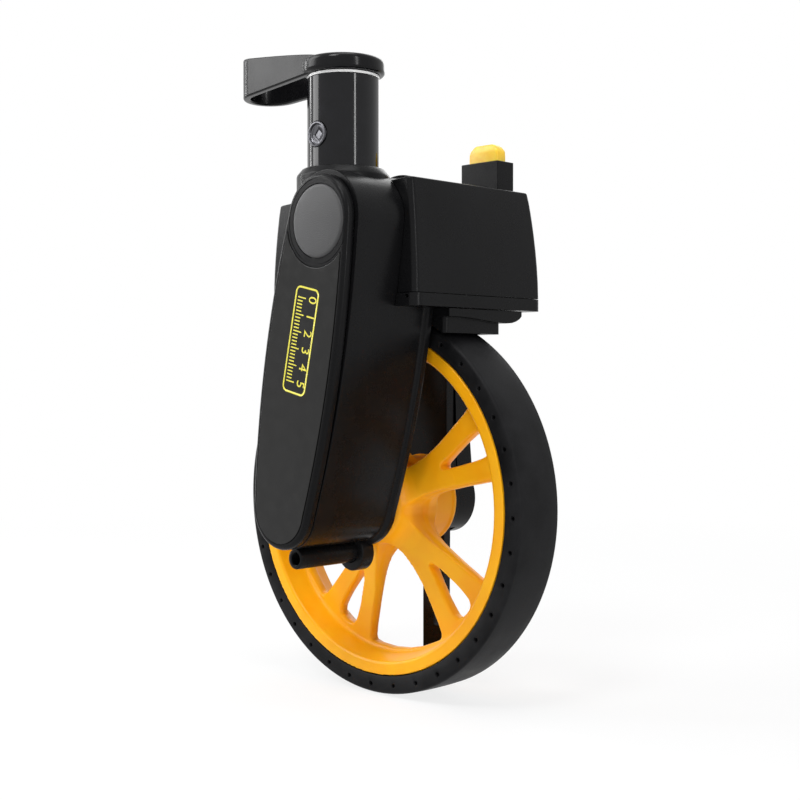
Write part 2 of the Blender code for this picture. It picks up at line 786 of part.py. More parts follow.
# Counter housing: a box with drafted sides and a lid that rises towards the front
def draft_box(inset, bottom_z, corner):
    shape = bmesh.new()
    rings = []
    for draft_share, height_share in ((0, 0), (housing_swell_share, 0.5), (1, 1)):
        side = inset + housing_side_draft * draft_share
        low_x = housing_rear_x + side
        high_x = housing_front_x - inset - housing_front_draft * draft_share
        low_y = housing_near_y + side
        high_y = housing_far_y - side
        ring = []
        for x, y in ((low_x, low_y), (high_x, low_y), (high_x, high_y), (low_x, high_y)):
            z = bottom_z + (housing_top(x) - inset - bottom_z) * height_share
            ring.append(shape.verts.new((x, y, z)))
        rings.append(ring)
    for first, second in zip(rings, rings[1:]):
        for step in range(4):
            after = (step + 1) % 4
            corners = (first[step], first[after], second[after], second[step])
            shape.faces.new(corners[:3])
            shape.faces.new((corners[0], corners[2], corners[3]))
    shape.faces.new(rings[0][::-1])
    shape.faces.new(rings[-1])
    shape.normal_update()
    shape.edges.ensure_lookup_table()
    edges = []
    for edge in shape.edges:
        upright = any(edge.verts[0] in (low[step], high[step]) and edge.verts[1] in (low[step], high[step])
                      for low, high in zip(rings, rings[1:]) for step in range(4))
        around_top = edge.verts[0] in rings[-1] and edge.verts[1] in rings[-1]
        if upright or around_top:
            edges.append(edge)
    bmesh.ops.bevel(shape, geom=edges, offset=corner, segments=2, affect="EDGES", profile=0.5)
    bmesh.ops.triangulate(shape, faces=[face for face in shape.faces if len(face.verts) > 4])
    bmesh.ops.recalc_face_normals(shape, faces=shape.faces)
    return shape


def case_clearances(low_z, high_z):
    # The room that the gear case, its socket and the handle tube need in the pieces around them
    around_case = slab(case_outline(fit_gap), case_near_y - cover_depth, case_inner_y + fit_gap)
    around_flange = slab(case_outline(flange_proud + fit_gap), case_inner_y - flange_depth - fit_gap,
                         case_inner_y + fit_gap)
    around_socket = rod(socket_radius + fit_gap, low_z, high_z, "Z", (*tube_axis, 0))
    return around_case, around_flange, around_socket


def button_place():
    return (collar_rear_x + collar_front_x) / 2, (collar_near_y + collar_far_y) / 2


def window_box():
    far_y = window_near_y + drum_pitch * drum_count + fit_gap
    return window_rear_x, window_rear_x + window_length, window_near_y, far_y


def build_counter_housing():
    housing = add_piece("counter_housing", draft_box(0, housing_bottom_z, housing_corner), satin_black)
    cut(housing, draft_box(housing_wall, housing_bottom_z - cut_overrun, housing_corner / 2))
    cut(housing, *case_clearances(housing_bottom_z - cut_overrun, socket_top_z))
    low_x, high_x, low_y, high_y = window_box()
    opening = rounded_rectangle(low_x, high_x, low_y, high_y, housing_wall)
    cut(housing, slab(opening, housing_bottom_z + housing_wall, housing_front_top_z + cut_overrun, "Z"))
    lens_outline = [
        (low_x + fit_gap, housing_top(low_x)),
        (high_x - fit_gap, housing_top(high_x)),
        (high_x - fit_gap, housing_top(high_x) - lens_thickness),
        (low_x + fit_gap, housing_top(low_x) - lens_thickness),
    ]
    lens = add_piece("counter_window", slab(lens_outline, low_y + fit_gap, high_y - fit_gap), clear_lens)
    cut(lens, *window_corner_cutters(low_x, high_x, low_y, high_y))
    x, y = button_place()
    stem_hole = rod(button_stem_radius + running_gap, housing_bottom_z + housing_wall,
                    housing_front_top_z + cut_overrun, "Z", (x, y, 0), small_segments)
    cut(housing, stem_hole)


def window_corner_cutters(low_x, high_x, low_y, high_y):
    # Four corner blocks that leave the lens with the window's own round corners
    outer = rounded_rectangle(low_x - housing_wall, high_x + housing_wall, low_y - housing_wall,
                              high_y + housing_wall, housing_wall)
    inner = rounded_rectangle(low_x + fit_gap, high_x - fit_gap, low_y + fit_gap, high_y - fit_gap, housing_wall)
    low_z = housing_rear_top_z - housing_corner
    high_z = housing_front_top_z + housing_corner
    shape = bmesh.new()
    loops = []
    for outline, z in ((outer, low_z), (outer, high_z), (inner, high_z), (inner, low_z)):
        loops.append([shape.verts.new((a, b, z)) for a, b in outline])
    count = len(outer)
    for first, second in zip(loops, loops[1:] + loops[:1]):
        for step in range(count):
            after = (step + 1) % count
            shape.faces.new((first[step], first[after], second[after], second[step]))
    bmesh.ops.recalc_face_normals(shape, faces=shape.faces)
    return [shape]


base_top_z = housing_bottom_z - fit_gap
base_bottom_z = base_top_z - base_thickness


def button_spring_z():
    x = button_place()[0]
    clip_top = housing_top(x) - housing_wall - 3 * fit_gap
    clip_bottom = clip_top - stem_clip_thickness
    return clip_top, clip_bottom, clip_bottom - fit_gap - spring_length


def build_housing_base():
    outline = rounded_rectangle(housing_rear_x - base_proud, housing_front_x + base_proud,
                                housing_near_y - base_proud, housing_far_y + base_proud, base_corner)
    base = add_piece("housing_base", slab(outline, base_bottom_z, base_top_z, "Z"), satin_black)
    cut(base, *case_clearances(base_bottom_z - cut_overrun, base_top_z + cut_overrun))
    x, y = button_place()
    post_top = button_spring_z()[2] - fit_gap
    fuse(base, rod(spring_post_radius, base_top_z - base_thickness / 2, post_top, "Z", (x, y, 0),
                   small_segments))


# Counter: a sheet frame on the base carries the shaft; the first drum is fixed to the shaft
def build_counter():
    x, z = shaft_centre
    pivot = (x, 0, z)
    frame_near_y = first_drum_y - 2 * axial_gap - frame_sheet
    last_drum_y = first_drum_y + drum_pitch * drum_count
    frame_far_y = last_drum_y + axial_gap + frame_sheet
    floor_z = base_top_z + fit_gap
    ear_top_z = z + shaft_radius + frame_foot_length / 2
    channel = [
        (frame_near_y, floor_z), (frame_far_y, floor_z), (frame_far_y, ear_top_z),
        (frame_far_y - frame_sheet, ear_top_z), (frame_far_y - frame_sheet, floor_z + frame_sheet),
        (frame_near_y + frame_sheet, floor_z + frame_sheet), (frame_near_y + frame_sheet, ear_top_z),
        (frame_near_y, ear_top_z),
    ]
    frame = add_piece("counter_frame", slab(channel, x - frame_length / 2, x + frame_length / 2, "X"), steel)
    cut(frame, rod(shaft_radius + running_gap, frame_near_y - cut_overrun, frame_far_y + cut_overrun, "Y",
                   pivot, small_segments))
    shaft_near_y = gear_near_y
    shaft_far_y = frame_far_y + frame_sheet
    add_piece("counter_shaft", rod(shaft_radius, shaft_near_y, shaft_far_y, "Y", pivot, small_segments), steel,
              pivot)
    for number in range(1, drum_count + 1):
        low_y = first_drum_y + drum_pitch * (number - 1)
        high_y = low_y + drum_pitch - axial_gap
        drum = pipe(drum_radius, shaft_radius + running_gap, low_y, high_y, "Y", pivot, 3 * drum_digit_count)
        add_piece("number_drum_" + str(number), drum, drum_white, pivot)


def build_reset_button():
    x, y = button_place()
    sides = [
        (collar_rear_x, housing_top(collar_rear_x) + fit_gap),
        (collar_front_x, housing_top(collar_front_x) + fit_gap),
        (collar_front_x, collar_top_z),
        (collar_rear_x, collar_top_z),
    ]
    collar = add_piece("button_collar", slab(sides, collar_near_y, collar_far_y), satin_black)
    low_x = collar_rear_x + collar_wall
    high_x = collar_front_x - collar_wall
    low_y = collar_near_y + collar_wall
    high_y = collar_far_y - collar_wall
    well = rounded_rectangle(low_x, high_x, low_y, high_y, collar_wall / 2)
    cut(collar, slab(well, housing_rear_top_z, collar_top_z + cut_overrun, "Z"))
    low_x += running_gap
    high_x -= running_gap
    button_bottom_z = housing_top(collar_front_x) + 2 * fit_gap + button_travel
    face = [(low_x, button_bottom_z), (high_x, button_bottom_z), (high_x, button_top_z - button_chamfer),
            (high_x - button_chamfer, button_top_z), (low_x + button_chamfer, button_top_z),
            (low_x, button_top_z - button_chamfer)]
    button = add_piece("reset_button", slab(face, low_y + running_gap, high_y - running_gap), button_yellow,
                       (x, y, 0))
    soften(button, collar_wall / 2)
    clip_top, clip_bottom, spring_bottom = button_spring_z()
    stem = turned([(0, clip_bottom), (stem_clip_radius, clip_bottom), (stem_clip_radius, clip_top),
                   (button_stem_radius, clip_top), (button_stem_radius, button_bottom_z + button_chamfer),
                   (0, button_bottom_z + button_chamfer)], "Z", (x, y, 0), small_segments)
    fuse(button, stem)
    add_spring(x, y, spring_bottom, clip_bottom - fit_gap)


def add_spring(x, y, low_z, high_z):
    curve = bpy.data.curves.new("reset_spring", "CURVE")
    curve.dimensions = "3D"
    curve.bevel_depth = spring_wire_radius
    curve.bevel_resolution = 1
    curve.use_fill_caps = True
    line = curve.splines.new("POLY")
    points_per_turn = 10
    count = spring_turns * points_per_turn
    line.points.add(count)
    low = low_z + spring_wire_radius
    rise = high_z - low_z - 2 * spring_wire_radius
    for step in range(count + 1):
        along, across = polar(spring_radius, 2 * math.pi * step / points_per_turn)
        line.points[step].co = (along, across, low + rise * step / count, 1)
    spring = bpy.data.objects.new("reset_spring", curve)
    curve.materials.append(steel)
    spring.location = (x, y, 0)
    spring.parent = product
    bpy.context.scene.collection.objects.link(spring)


# Handle: three tubes that slide into each other, drawn closed
tube_bore_radius = tube_radius - tube_wall
guide_inner_radius = tube_bore_radius - fit_gap - guide_wall
middle_radius = guide_inner_radius - fit_gap
inner_radius = middle_radius - middle_wall - fit_gap
guide_bottom_z = tube_top_z - guide_length
grip_bottom_z = tube_top_z + grip_gap


def build_handle_tubes():
    centre = (*tube_axis, 0)
    outer = add_piece("outer_tube", pipe(tube_radius, tube_bore_radius, tube_bottom_z, tube_top_z, "Z", centre),
                      gloss_black)
    screw_axis = (tube_axis[0], 0, tube_screw_z)
    surface_y = tube_axis[1] - tube_radius
    bore_y = tube_axis[1] - tube_bore_radius
    cut(outer, rod(tube_screw_radius + fit_gap, surface_y - cut_overrun, tube_axis[1] - tube_bore_radius / 2, "Y",
                   screw_axis, small_segments))
    plug_low_z = tube_bottom_z - fit_gap - plug_flange
    plug = turned([(0, plug_low_z), (tube_radius, plug_low_z), (tube_radius, plug_low_z + plug_flange),
                   (tube_bore_radius - fit_gap, plug_low_z + plug_flange),
                   (tube_bore_radius - fit_gap, tube_bottom_z + plug_spigot), (0, tube_bottom_z + plug_spigot)],
                  "Z", centre)
    add_piece("tube_plug", plug, gear_plastic)
    guide = add_piece("guide_sleeve", pipe(tube_bore_radius - fit_gap, guide_inner_radius, guide_bottom_z,
                                           tube_top_z, "Z", centre), gear_plastic)
    cut(guide, rod(tube_screw_stem_radius + fit_gap, surface_y - cut_overrun, tube_axis[1], "Y", screw_axis,
                   small_segments))
    build_tube_screw(surface_y, bore_y, screw_axis)
    foot_top = tube_bottom_z + plug_spigot + 2 * fit_gap + middle_foot_length
    middle_low_z = foot_top - middle_foot_length
    middle = turned([(inner_radius + fit_gap, middle_low_z), (tube_bore_radius - fit_gap, middle_low_z),
                     (tube_bore_radius - fit_gap, foot_top), (middle_radius, foot_top),
                     (middle_radius, tube_top_z), (inner_radius + fit_gap, tube_top_z)], "Z", centre)
    add_piece("middle_tube", middle, bright_tube, centre)
    inner_low_z = foot_top
    inner_top_z = grip_bottom_z + inner_tube_reach
    inner = pipe(inner_radius, inner_radius - inner_wall, inner_low_z, inner_top_z, "Z", centre)
    add_piece("inner_tube", inner, bright_tube, centre)


# Screw head sunk in the tube's near side, with a square socket; its edge stands just proud of the tube
def build_tube_screw(surface_y, bore_y, screw_axis):
    seat_y = bore_y - fit_gap
    face_y = surface_y - tube_screw_ring / 2
    tip_y = bore_y + fit_gap + guide_wall / 2
    profile = [(0, face_y + tube_screw_sink), (tube_screw_radius - tube_screw_ring, face_y + tube_screw_sink),
               (tube_screw_radius - tube_screw_ring, face_y), (tube_screw_radius, face_y),
               (tube_screw_radius, seat_y), (tube_screw_stem_radius, seat_y), (tube_screw_stem_radius, tip_y),
               (0, tip_y)]
    screw = add_piece("tube_screw", turned(profile, "Y", screw_axis, small_segments), steel)
    half_diagonal = tube_screw_square / math.sqrt(2)
    corners = arc((screw_axis[0], screw_axis[2]), half_diagonal, 0, 2 * math.pi, 4)[:-1]
    cut(screw, slab(corners, face_y - cut_overrun, seat_y))


# Loop grip: a shallow collar over the inner tube, and a band that runs back from it and round
def loop_path(offset):
    half_root = loop_root_half_width - offset
    end_radius = loop_end_radius - offset
    end_centre_x = loop_end_x + loop_end_radius
    near = [(tube_axis[0], tube_axis[1] - half_root)]
    far = [(tube_axis[0], tube_axis[1] + half_root)]
    turn = arc((end_centre_x, tube_axis[1]), end_radius, 1.5 * math.pi, math.pi / 2, 14)
    return near + turn + far


def build_loop_grip():
    centre = (*tube_axis, 0)
    collar_top = grip_bottom_z + grip_collar_height
    collar = turned([(0, grip_bottom_z), (grip_collar_radius - grip_dome, grip_bottom_z),
                     (grip_collar_radius, grip_bottom_z + grip_dome), (grip_collar_radius, collar_top - grip_dome),
                     (grip_collar_radius - grip_dome, collar_top), (0, collar_top)], "Z", centre)
    grip = add_piece("loop_grip", collar, satin_black, centre)
    band = slab(loop_path(0), loop_bottom_z, loop_end_top_z, "Z")
    for vertex in band.verts:
        share = (tube_axis[0] - vertex.co.x) / (tube_axis[0] - loop_end_x)
        if vertex.co.z > loop_bottom_z:
            vertex.co.z = loop_root_top_z + (loop_end_top_z - loop_root_top_z) * share
        else:
            vertex.co.z = grip_bottom_z + (loop_bottom_z - grip_bottom_z) * share
    fuse(grip, band)
    inside = slab(loop_path(loop_band), loop_bottom_z - cut_overrun, loop_end_top_z + cut_overrun, "Z")
    keep_back = tube_axis[0] - grip_collar_radius
    for vertex in inside.verts:
        vertex.co.x = min(vertex.co.x, keep_back)
    cut(grip, inside)
    cut(grip, rod(inner_radius + fit_gap, loop_bottom_z - cut_overrun, grip_bottom_z + inner_tube_reach + fit_gap,
                  "Z", centre))
    return grip


# Shares of the fender's length, and of its band's depth, along the band's lower edge
fender_edge_shares = ((0, 0.62), (0.3, 0.68), (0.6, 0.9), (0.78, 1.0), (0.92, 0.82), (1, 0.5))


# Fender: a band under the housing's front with a sagging lower edge, and a skirt that follows the tread
def build_fender():
    top_z = base_bottom_z - fit_gap
    length = fender_far_y - fender_near_y
    band = [(fender_far_y, top_z), (fender_near_y, top_z)]
    for along_share, depth_share in fender_edge_shares:
        band.append((fender_near_y + length * along_share, top_z - fender_band_depth * depth_share))
    fender = add_piece("fender", slab(band, fender_rear_x, fender_front_x, "X"), satin_black)
    skirt = rounded_rectangle(fender_rear_x + fit_gap, fender_skirt_front_x, fender_near_y + fit_gap,
                              fender_skirt_far_y, fender_corner)
    fuse(fender, slab(skirt, fender_skirt_bottom_z, top_z - fender_corner / 2, "Z"))
    cut(fender, rod(wheel_radius + fender_tread_gap, fender_near_y - cut_overrun, half_width + fender_tread_gap,
                    "Y", (0, 0, 0), fine_segments))


# Far arm: a plate beside the wheel and a hollow cover over the leg's eye and the nut
def arm_outline(inset, bottom_radius):
    low_turn = math.asin(max(-1.0, min(1.0, (arm_rear_x + inset) / bottom_radius)))
    first = -math.pi / 2 + low_turn - math.radians(20)
    bottom = arc((0, 0), bottom_radius, first, math.radians(24), 14)
    return [*bottom, (arm_front_x - inset, arm_waist_z), (arm_front_x - inset, base_bottom_z - fit_gap - inset),
            (arm_rear_x + inset, base_bottom_z - fit_gap - inset), (arm_rear_x + inset, arm_waist_z)]


def build_far_arm():
    plate = add_piece("far_arm_plate", slab(arm_outline(0, arm_boss_radius), arm_plate_near_y, arm_plate_far_y),
                      satin_black)
    cut(plate, rod(axle_radius + fit_gap, arm_plate_near_y - cut_overrun, arm_plate_far_y + cut_overrun, "Y",
                   (0, 0, 0), small_segments))
    cover_low_y = arm_plate_far_y + fit_gap
    cover_high_y = cover_low_y + arm_cover_depth
    cover = add_piece("far_arm_cover", slab(arm_outline(arm_cover_inset, arm_boss_radius - arm_cover_inset),
                                            cover_low_y, cover_high_y), satin_black)
    soften(cover, arm_cover_wall / 2)
    hollow = slab(arm_outline(arm_cover_inset + arm_cover_wall, arm_boss_radius - arm_cover_inset - arm_cover_wall),
                  cover_low_y - cut_overrun, cover_high_y - arm_cover_wall)
    cut(cover, hollow)
    cut(cover, leg_swing_cutter(cover_low_y - cut_overrun, cover_low_y + leg_thickness + 2 * axial_gap))


def leg_swing_cutter(low_y, high_y):
    # A fan as wide as the leg's travel, so that its slot in the cover's skirt never stops it
    reach = 2 * arm_boss_radius
    spread = math.asin(leg_width / 2 / arm_boss_radius) + math.radians(6)
    first = -math.pi / 2 - leg_swing_rear - spread
    last = -math.pi / 2 + leg_swing_front + spread
    return slab([(0, 0), *arc((0, 0), reach, first, last, 12)], low_y, high_y)


def build_kickstand():
    low_y = arm_plate_far_y + axial_gap
    high_y = low_y + leg_thickness
    half_leg = leg_width / 2
    eye = arc((0, 0), leg_eye_radius, math.radians(-35), math.radians(215), 14)
    outline = [*eye, (-half_leg, leg_shoulder_z), (-half_leg, leg_end_z), (half_leg, leg_end_z),
               (half_leg, leg_shoulder_z)]
    leg = add_piece("kickstand_leg", slab(outline, low_y, high_y), satin_black)
    holes = [rod(axle_radius + running_gap, low_y - cut_overrun, high_y + cut_overrun, "Y", (0, 0, 0),
                 small_segments)]
    slot = rounded_rectangle(leg_slot_x - leg_slot_width / 2, leg_slot_x + leg_slot_width / 2,
                             leg_slot_bottom_z, leg_slot_top_z, leg_slot_width / 2 - fit_gap, 3)
    holes.append(slab(slot, low_y - cut_overrun, high_y + cut_overrun))
    cut(leg, merge(*holes))
    foot_half = half_leg + fit_gap + foot_wall
    outline = rounded_rectangle(-foot_half, foot_half, foot_bottom_z, leg_end_z + foot_overlap, foot_wall)
    foot = add_piece("kickstand_foot", slab(outline, low_y - fit_gap - foot_wall, high_y + foot_spread), tyre_rubber)
    pocket = [(-half_leg - fit_gap, leg_end_z - fit_gap), (half_leg + fit_gap, leg_end_z - fit_gap),
              (half_leg + fit_gap, leg_end_z + foot_overlap + cut_overrun),
              (-half_leg - fit_gap, leg_end_z + foot_overlap + cut_overrun)]
    cut(foot, slab(pocket, low_y - fit_gap, high_y + fit_gap))


build_wheel()
build_tyre()
build_gears()
build_axle()
build_gear_case()
build_case_cover()
build_sleeve_pin()
build_counter_housing()
build_housing_base()
build_counter()
build_reset_button()
build_handle_tubes()
build_loop_grip()
build_fender()
build_far_arm()
build_kickstand()
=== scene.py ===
# A measuring wheel, dressed for the camera: tyred wheel, gear case, counter box and telescopic handle
import json
import math
import bmesh
import bpy
from mathutils import Matrix, Vector


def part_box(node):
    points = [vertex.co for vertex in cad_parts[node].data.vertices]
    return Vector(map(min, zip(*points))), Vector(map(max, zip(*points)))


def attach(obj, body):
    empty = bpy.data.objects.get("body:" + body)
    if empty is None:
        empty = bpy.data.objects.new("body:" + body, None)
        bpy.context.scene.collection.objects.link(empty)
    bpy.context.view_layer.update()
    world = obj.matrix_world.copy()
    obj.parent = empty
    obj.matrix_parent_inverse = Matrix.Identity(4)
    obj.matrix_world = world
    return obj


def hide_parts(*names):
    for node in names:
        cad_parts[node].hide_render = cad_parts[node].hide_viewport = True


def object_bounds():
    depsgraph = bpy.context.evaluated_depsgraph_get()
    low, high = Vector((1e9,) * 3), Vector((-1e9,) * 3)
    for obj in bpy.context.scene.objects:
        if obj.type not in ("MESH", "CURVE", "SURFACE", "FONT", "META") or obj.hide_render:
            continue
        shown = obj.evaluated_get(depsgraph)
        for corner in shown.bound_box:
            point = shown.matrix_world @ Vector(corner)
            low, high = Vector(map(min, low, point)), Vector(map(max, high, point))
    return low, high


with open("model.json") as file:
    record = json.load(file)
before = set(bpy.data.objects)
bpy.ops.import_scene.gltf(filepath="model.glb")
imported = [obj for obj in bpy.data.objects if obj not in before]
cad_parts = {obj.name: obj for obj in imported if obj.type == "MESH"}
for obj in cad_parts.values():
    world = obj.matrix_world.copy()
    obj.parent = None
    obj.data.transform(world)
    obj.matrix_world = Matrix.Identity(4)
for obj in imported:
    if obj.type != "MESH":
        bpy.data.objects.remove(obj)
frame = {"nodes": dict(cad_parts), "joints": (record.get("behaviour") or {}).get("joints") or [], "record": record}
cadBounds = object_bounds()
nodes = frame["nodes"]
joints = {joint["name"]: joint for joint in frame["joints"]}

mm = 0.001
axle = Vector(joints["wheel_spin"]["pos_m"])
tau = 2 * math.pi
flatEnough = math.radians(0.02)  # a face bent more than this is split
speck = 0.004 * mm  # corners nearer than this are one


def boxOf(node):
    # a node's corners in millimetres about the axle, which is how every piece here is drawn
    low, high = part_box(node)
    return (low - axle) / mm, (high - axle) / mm


def middleOf(node):
    low, high = boxOf(node)
    return (low.x + high.x) / 2, (low.y + high.y) / 2, (low.z + high.z) / 2


# Mesh making, all in millimetres about the axle

def faceOutward(shape):
    bmesh.ops.recalc_face_normals(shape, faces=shape.faces)
    if shape.calc_volume(signed=True) < 0:
        bmesh.ops.reverse_faces(shape, faces=shape.faces)


def grid(rings):
    # skins rings that have the same number of points, and closes both ends
    shape = bmesh.new()
    rows = [[shape.verts.new(point) for point in ring] for ring in rings]
    count = len(rows[0])
    for first, second in zip(rows, rows[1:]):
        for step in range(count):
            after = (step + 1) % count
            shape.faces.new((first[step], first[after], second[after], second[step]))
    shape.faces.new(rows[0][::-1])
    shape.faces.new(rows[-1])
    bmesh.ops.connect_verts_nonplanar(shape, angle_limit=flatEnough, faces=shape.faces)
    faceOutward(shape)
    return shape


def placeRound(radius, angle, along, axis, centre):
    # a point about a centre: along Y, the round goes from +X to +Z
    across, up = radius * math.cos(angle), radius * math.sin(angle)
    offset = {"X": (along, across, up), "Y": (across, along, up), "Z": (across, up, along)}[axis]
    return Vector(centre) + Vector(offset)


def lathe(profile, axis="Y", centre=(0, 0, 0), sides=96):
    # profile is (radius, distance along the axis) all the way round a solid; radius 0 closes an end
    shape = bmesh.new()
    rows = []
    for radius, along in profile:
        count = sides if radius > 1e-6 else 1
        rows.append([shape.verts.new(placeRound(radius, tau * step / sides, along, axis, centre))
                     for step in range(count)])
    pairs = list(zip(rows, rows[1:]))
    if len(rows[0]) > 1 and len(rows[-1]) > 1:
        pairs.append((rows[-1], rows[0]))
    for first, second in pairs:
        for step in range(sides):
            after = (step + 1) % sides
            ring = []
            for corner in (first[step % len(first)], first[after % len(first)],
                           second[after % len(second)], second[step % len(second)]):
                if corner not in ring:
                    ring.append(corner)
            if len(ring) > 2:
                shape.faces.new(ring)
    faceOutward(shape)
    return shape


def drum(radius, low, high, axis="Y", centre=(0, 0, 0), sides=64):
    return lathe([(0, low), (radius, low), (radius, high), (0, high)], axis, centre, sides)


def slab(outline, low, high, axis="Y"):
    # an outline drawn across an axis, given depth along it
    spread = {"X": lambda a, b, c: (c, a, b),
              "Y": lambda a, b, c: (a, c, b),
              "Z": lambda a, b, c: (a, b, c)}[axis]
    return grid([[spread(a, b, low) for a, b in outline], [spread(a, b, high) for a, b in outline]])


def join(*shapes):
    # several shapes as one, to cut or print in a single step
    whole = bmesh.new()
    for shape in shapes:
        holder = bpy.data.meshes.new("holder")
        shape.to_mesh(holder)
        whole.from_mesh(holder)
        bpy.data.meshes.remove(holder)
        shape.free()
    return whole


def arcPoints(centre, radius, first, last, steps):
    turns = [first + (last - first) * step / steps for step in range(steps + 1)]
    return [(centre[0] + radius * math.cos(turn), centre[1] + radius * math.sin(turn)) for turn in turns]


def roundedBox(lowA, highA, lowB, highB, corner, steps=6):
    points = []
    centres = ((highA - corner, highB - corner), (lowA + corner, highB - corner),
               (lowA + corner, lowB + corner), (highA - corner, lowB + corner))
    for turn, centre in enumerate(centres):
        points += arcPoints(centre, corner, tau / 4 * turn, tau / 4 * (turn + 1), steps)
    return points


def roundCorner(steps=5):
    # shares of a quarter round: how far in, and how far along, for lips and shoulders
    return [(1 - math.sin(tau / 4 * step / steps), 1 - math.cos(tau / 4 * step / steps))
            for step in range(steps + 1)]


def makePiece(name, shape, material=None, body=None, replaced=(), creased=30):
    mesh = bpy.data.meshes.new(name)
    bmesh.ops.transform(shape, matrix=Matrix.Translation(axle) @ Matrix.Scale(mm, 4), verts=shape.verts)
    shape.to_mesh(mesh)
    shape.free()
    mesh.shade_smooth()
    mesh.set_sharp_from_angle(angle=math.radians(creased))
    piece = bpy.data.objects.new(name, mesh)
    bpy.context.scene.collection.objects.link(piece)
    if material:
        mesh.materials.append(material)
    if body:
        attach(piece, body)
    if replaced:
        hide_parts(*replaced)
    return piece


def settle(piece):
    # turns a piece's modifiers into its own mesh
    view = bpy.context.evaluated_depsgraph_get()
    fresh = bpy.data.meshes.new_from_object(piece.evaluated_get(view))
    old = piece.data
    piece.modifiers.clear()
    piece.data = fresh
    bpy.data.meshes.remove(old)
    fresh.name = piece.name


def cutWith(piece, tool, operation="DIFFERENCE"):
    step = piece.modifiers.new("carve", "BOOLEAN")
    step.operation = operation
    step.solver = "EXACT"
    step.object = tool
    settle(piece)
    bpy.data.objects.remove(tool)


def carve(piece, *cutters):
    for shape in cutters:
        cutWith(piece, makePiece("cutter", shape))


def weld(piece, *shapes):
    for shape in shapes:
        cutWith(piece, makePiece("cutter", shape), "UNION")


def evenShading(piece, creased):
    piece.data.set_sharp_from_angle(angle=math.radians(creased))
    normals = piece.modifiers.new("even shading", "WEIGHTED_NORMAL")
    normals.keep_sharp = True


def roundEdges(piece, width, segments=3, angle=35, creased=60):
    # softens the edges as a mould does; width is in millimetres
    clean = bmesh.new()
    clean.from_mesh(piece.data)
    bmesh.ops.remove_doubles(clean, verts=clean.verts, dist=speck)
    bmesh.ops.dissolve_degenerate(clean, dist=speck, edges=clean.edges)
    clean.to_mesh(piece.data)
    clean.free()
    bevel = piece.modifiers.new("rounded", "BEVEL")
    bevel.width = width * mm
    bevel.segments = segments
    bevel.limit_method = "ANGLE"
    bevel.angle_limit = math.radians(angle)
    bevel.miter_outer = "MITER_ARC"
    settle(piece)
    piece.data.shade_smooth()
    evenShading(piece, creased)


def mould(piece, voxel, smoothing, keepShare):
    # remeshes a carved solid and relaxes it, so that every inner and outer corner gets a moulded radius
    remesh = piece.modifiers.new("remesh", "REMESH")
    remesh.mode = "VOXEL"
    remesh.voxel_size = voxel * mm
    relax = piece.modifiers.new("relax", "SMOOTH")
    relax.factor = 0.5
    relax.iterations = smoothing
    thin = piece.modifiers.new("thin", "DECIMATE")
    thin.ratio = keepShare
    settle(piece)
    piece.data.shade_smooth()


# Shader maths written as plain expressions

class Wire:
    def __init__(self, paint, socket):
        self.paint = paint
        self.socket = socket

    def maths(self, operation, other=None, flipped=False):
        values = [self] if other is None else [other, self] if flipped else [self, other]
        return self.paint.add("Math", {"operation": operation}, dict(enumerate(values)))

    def __add__(self, other):
        return self.maths("ADD", other)

    def __radd__(self, other):
        return self.maths("ADD", other, True)

    def __sub__(self, other):
        return self.maths("SUBTRACT", other)

    def __rsub__(self, other):
        return self.maths("SUBTRACT", other, True)

    def __mul__(self, other):
        return self.maths("MULTIPLY", other)

    def __rmul__(self, other):
        return self.maths("MULTIPLY", other, True)

    def atLeast(self, other):
        return self.maths("MAXIMUM", other)


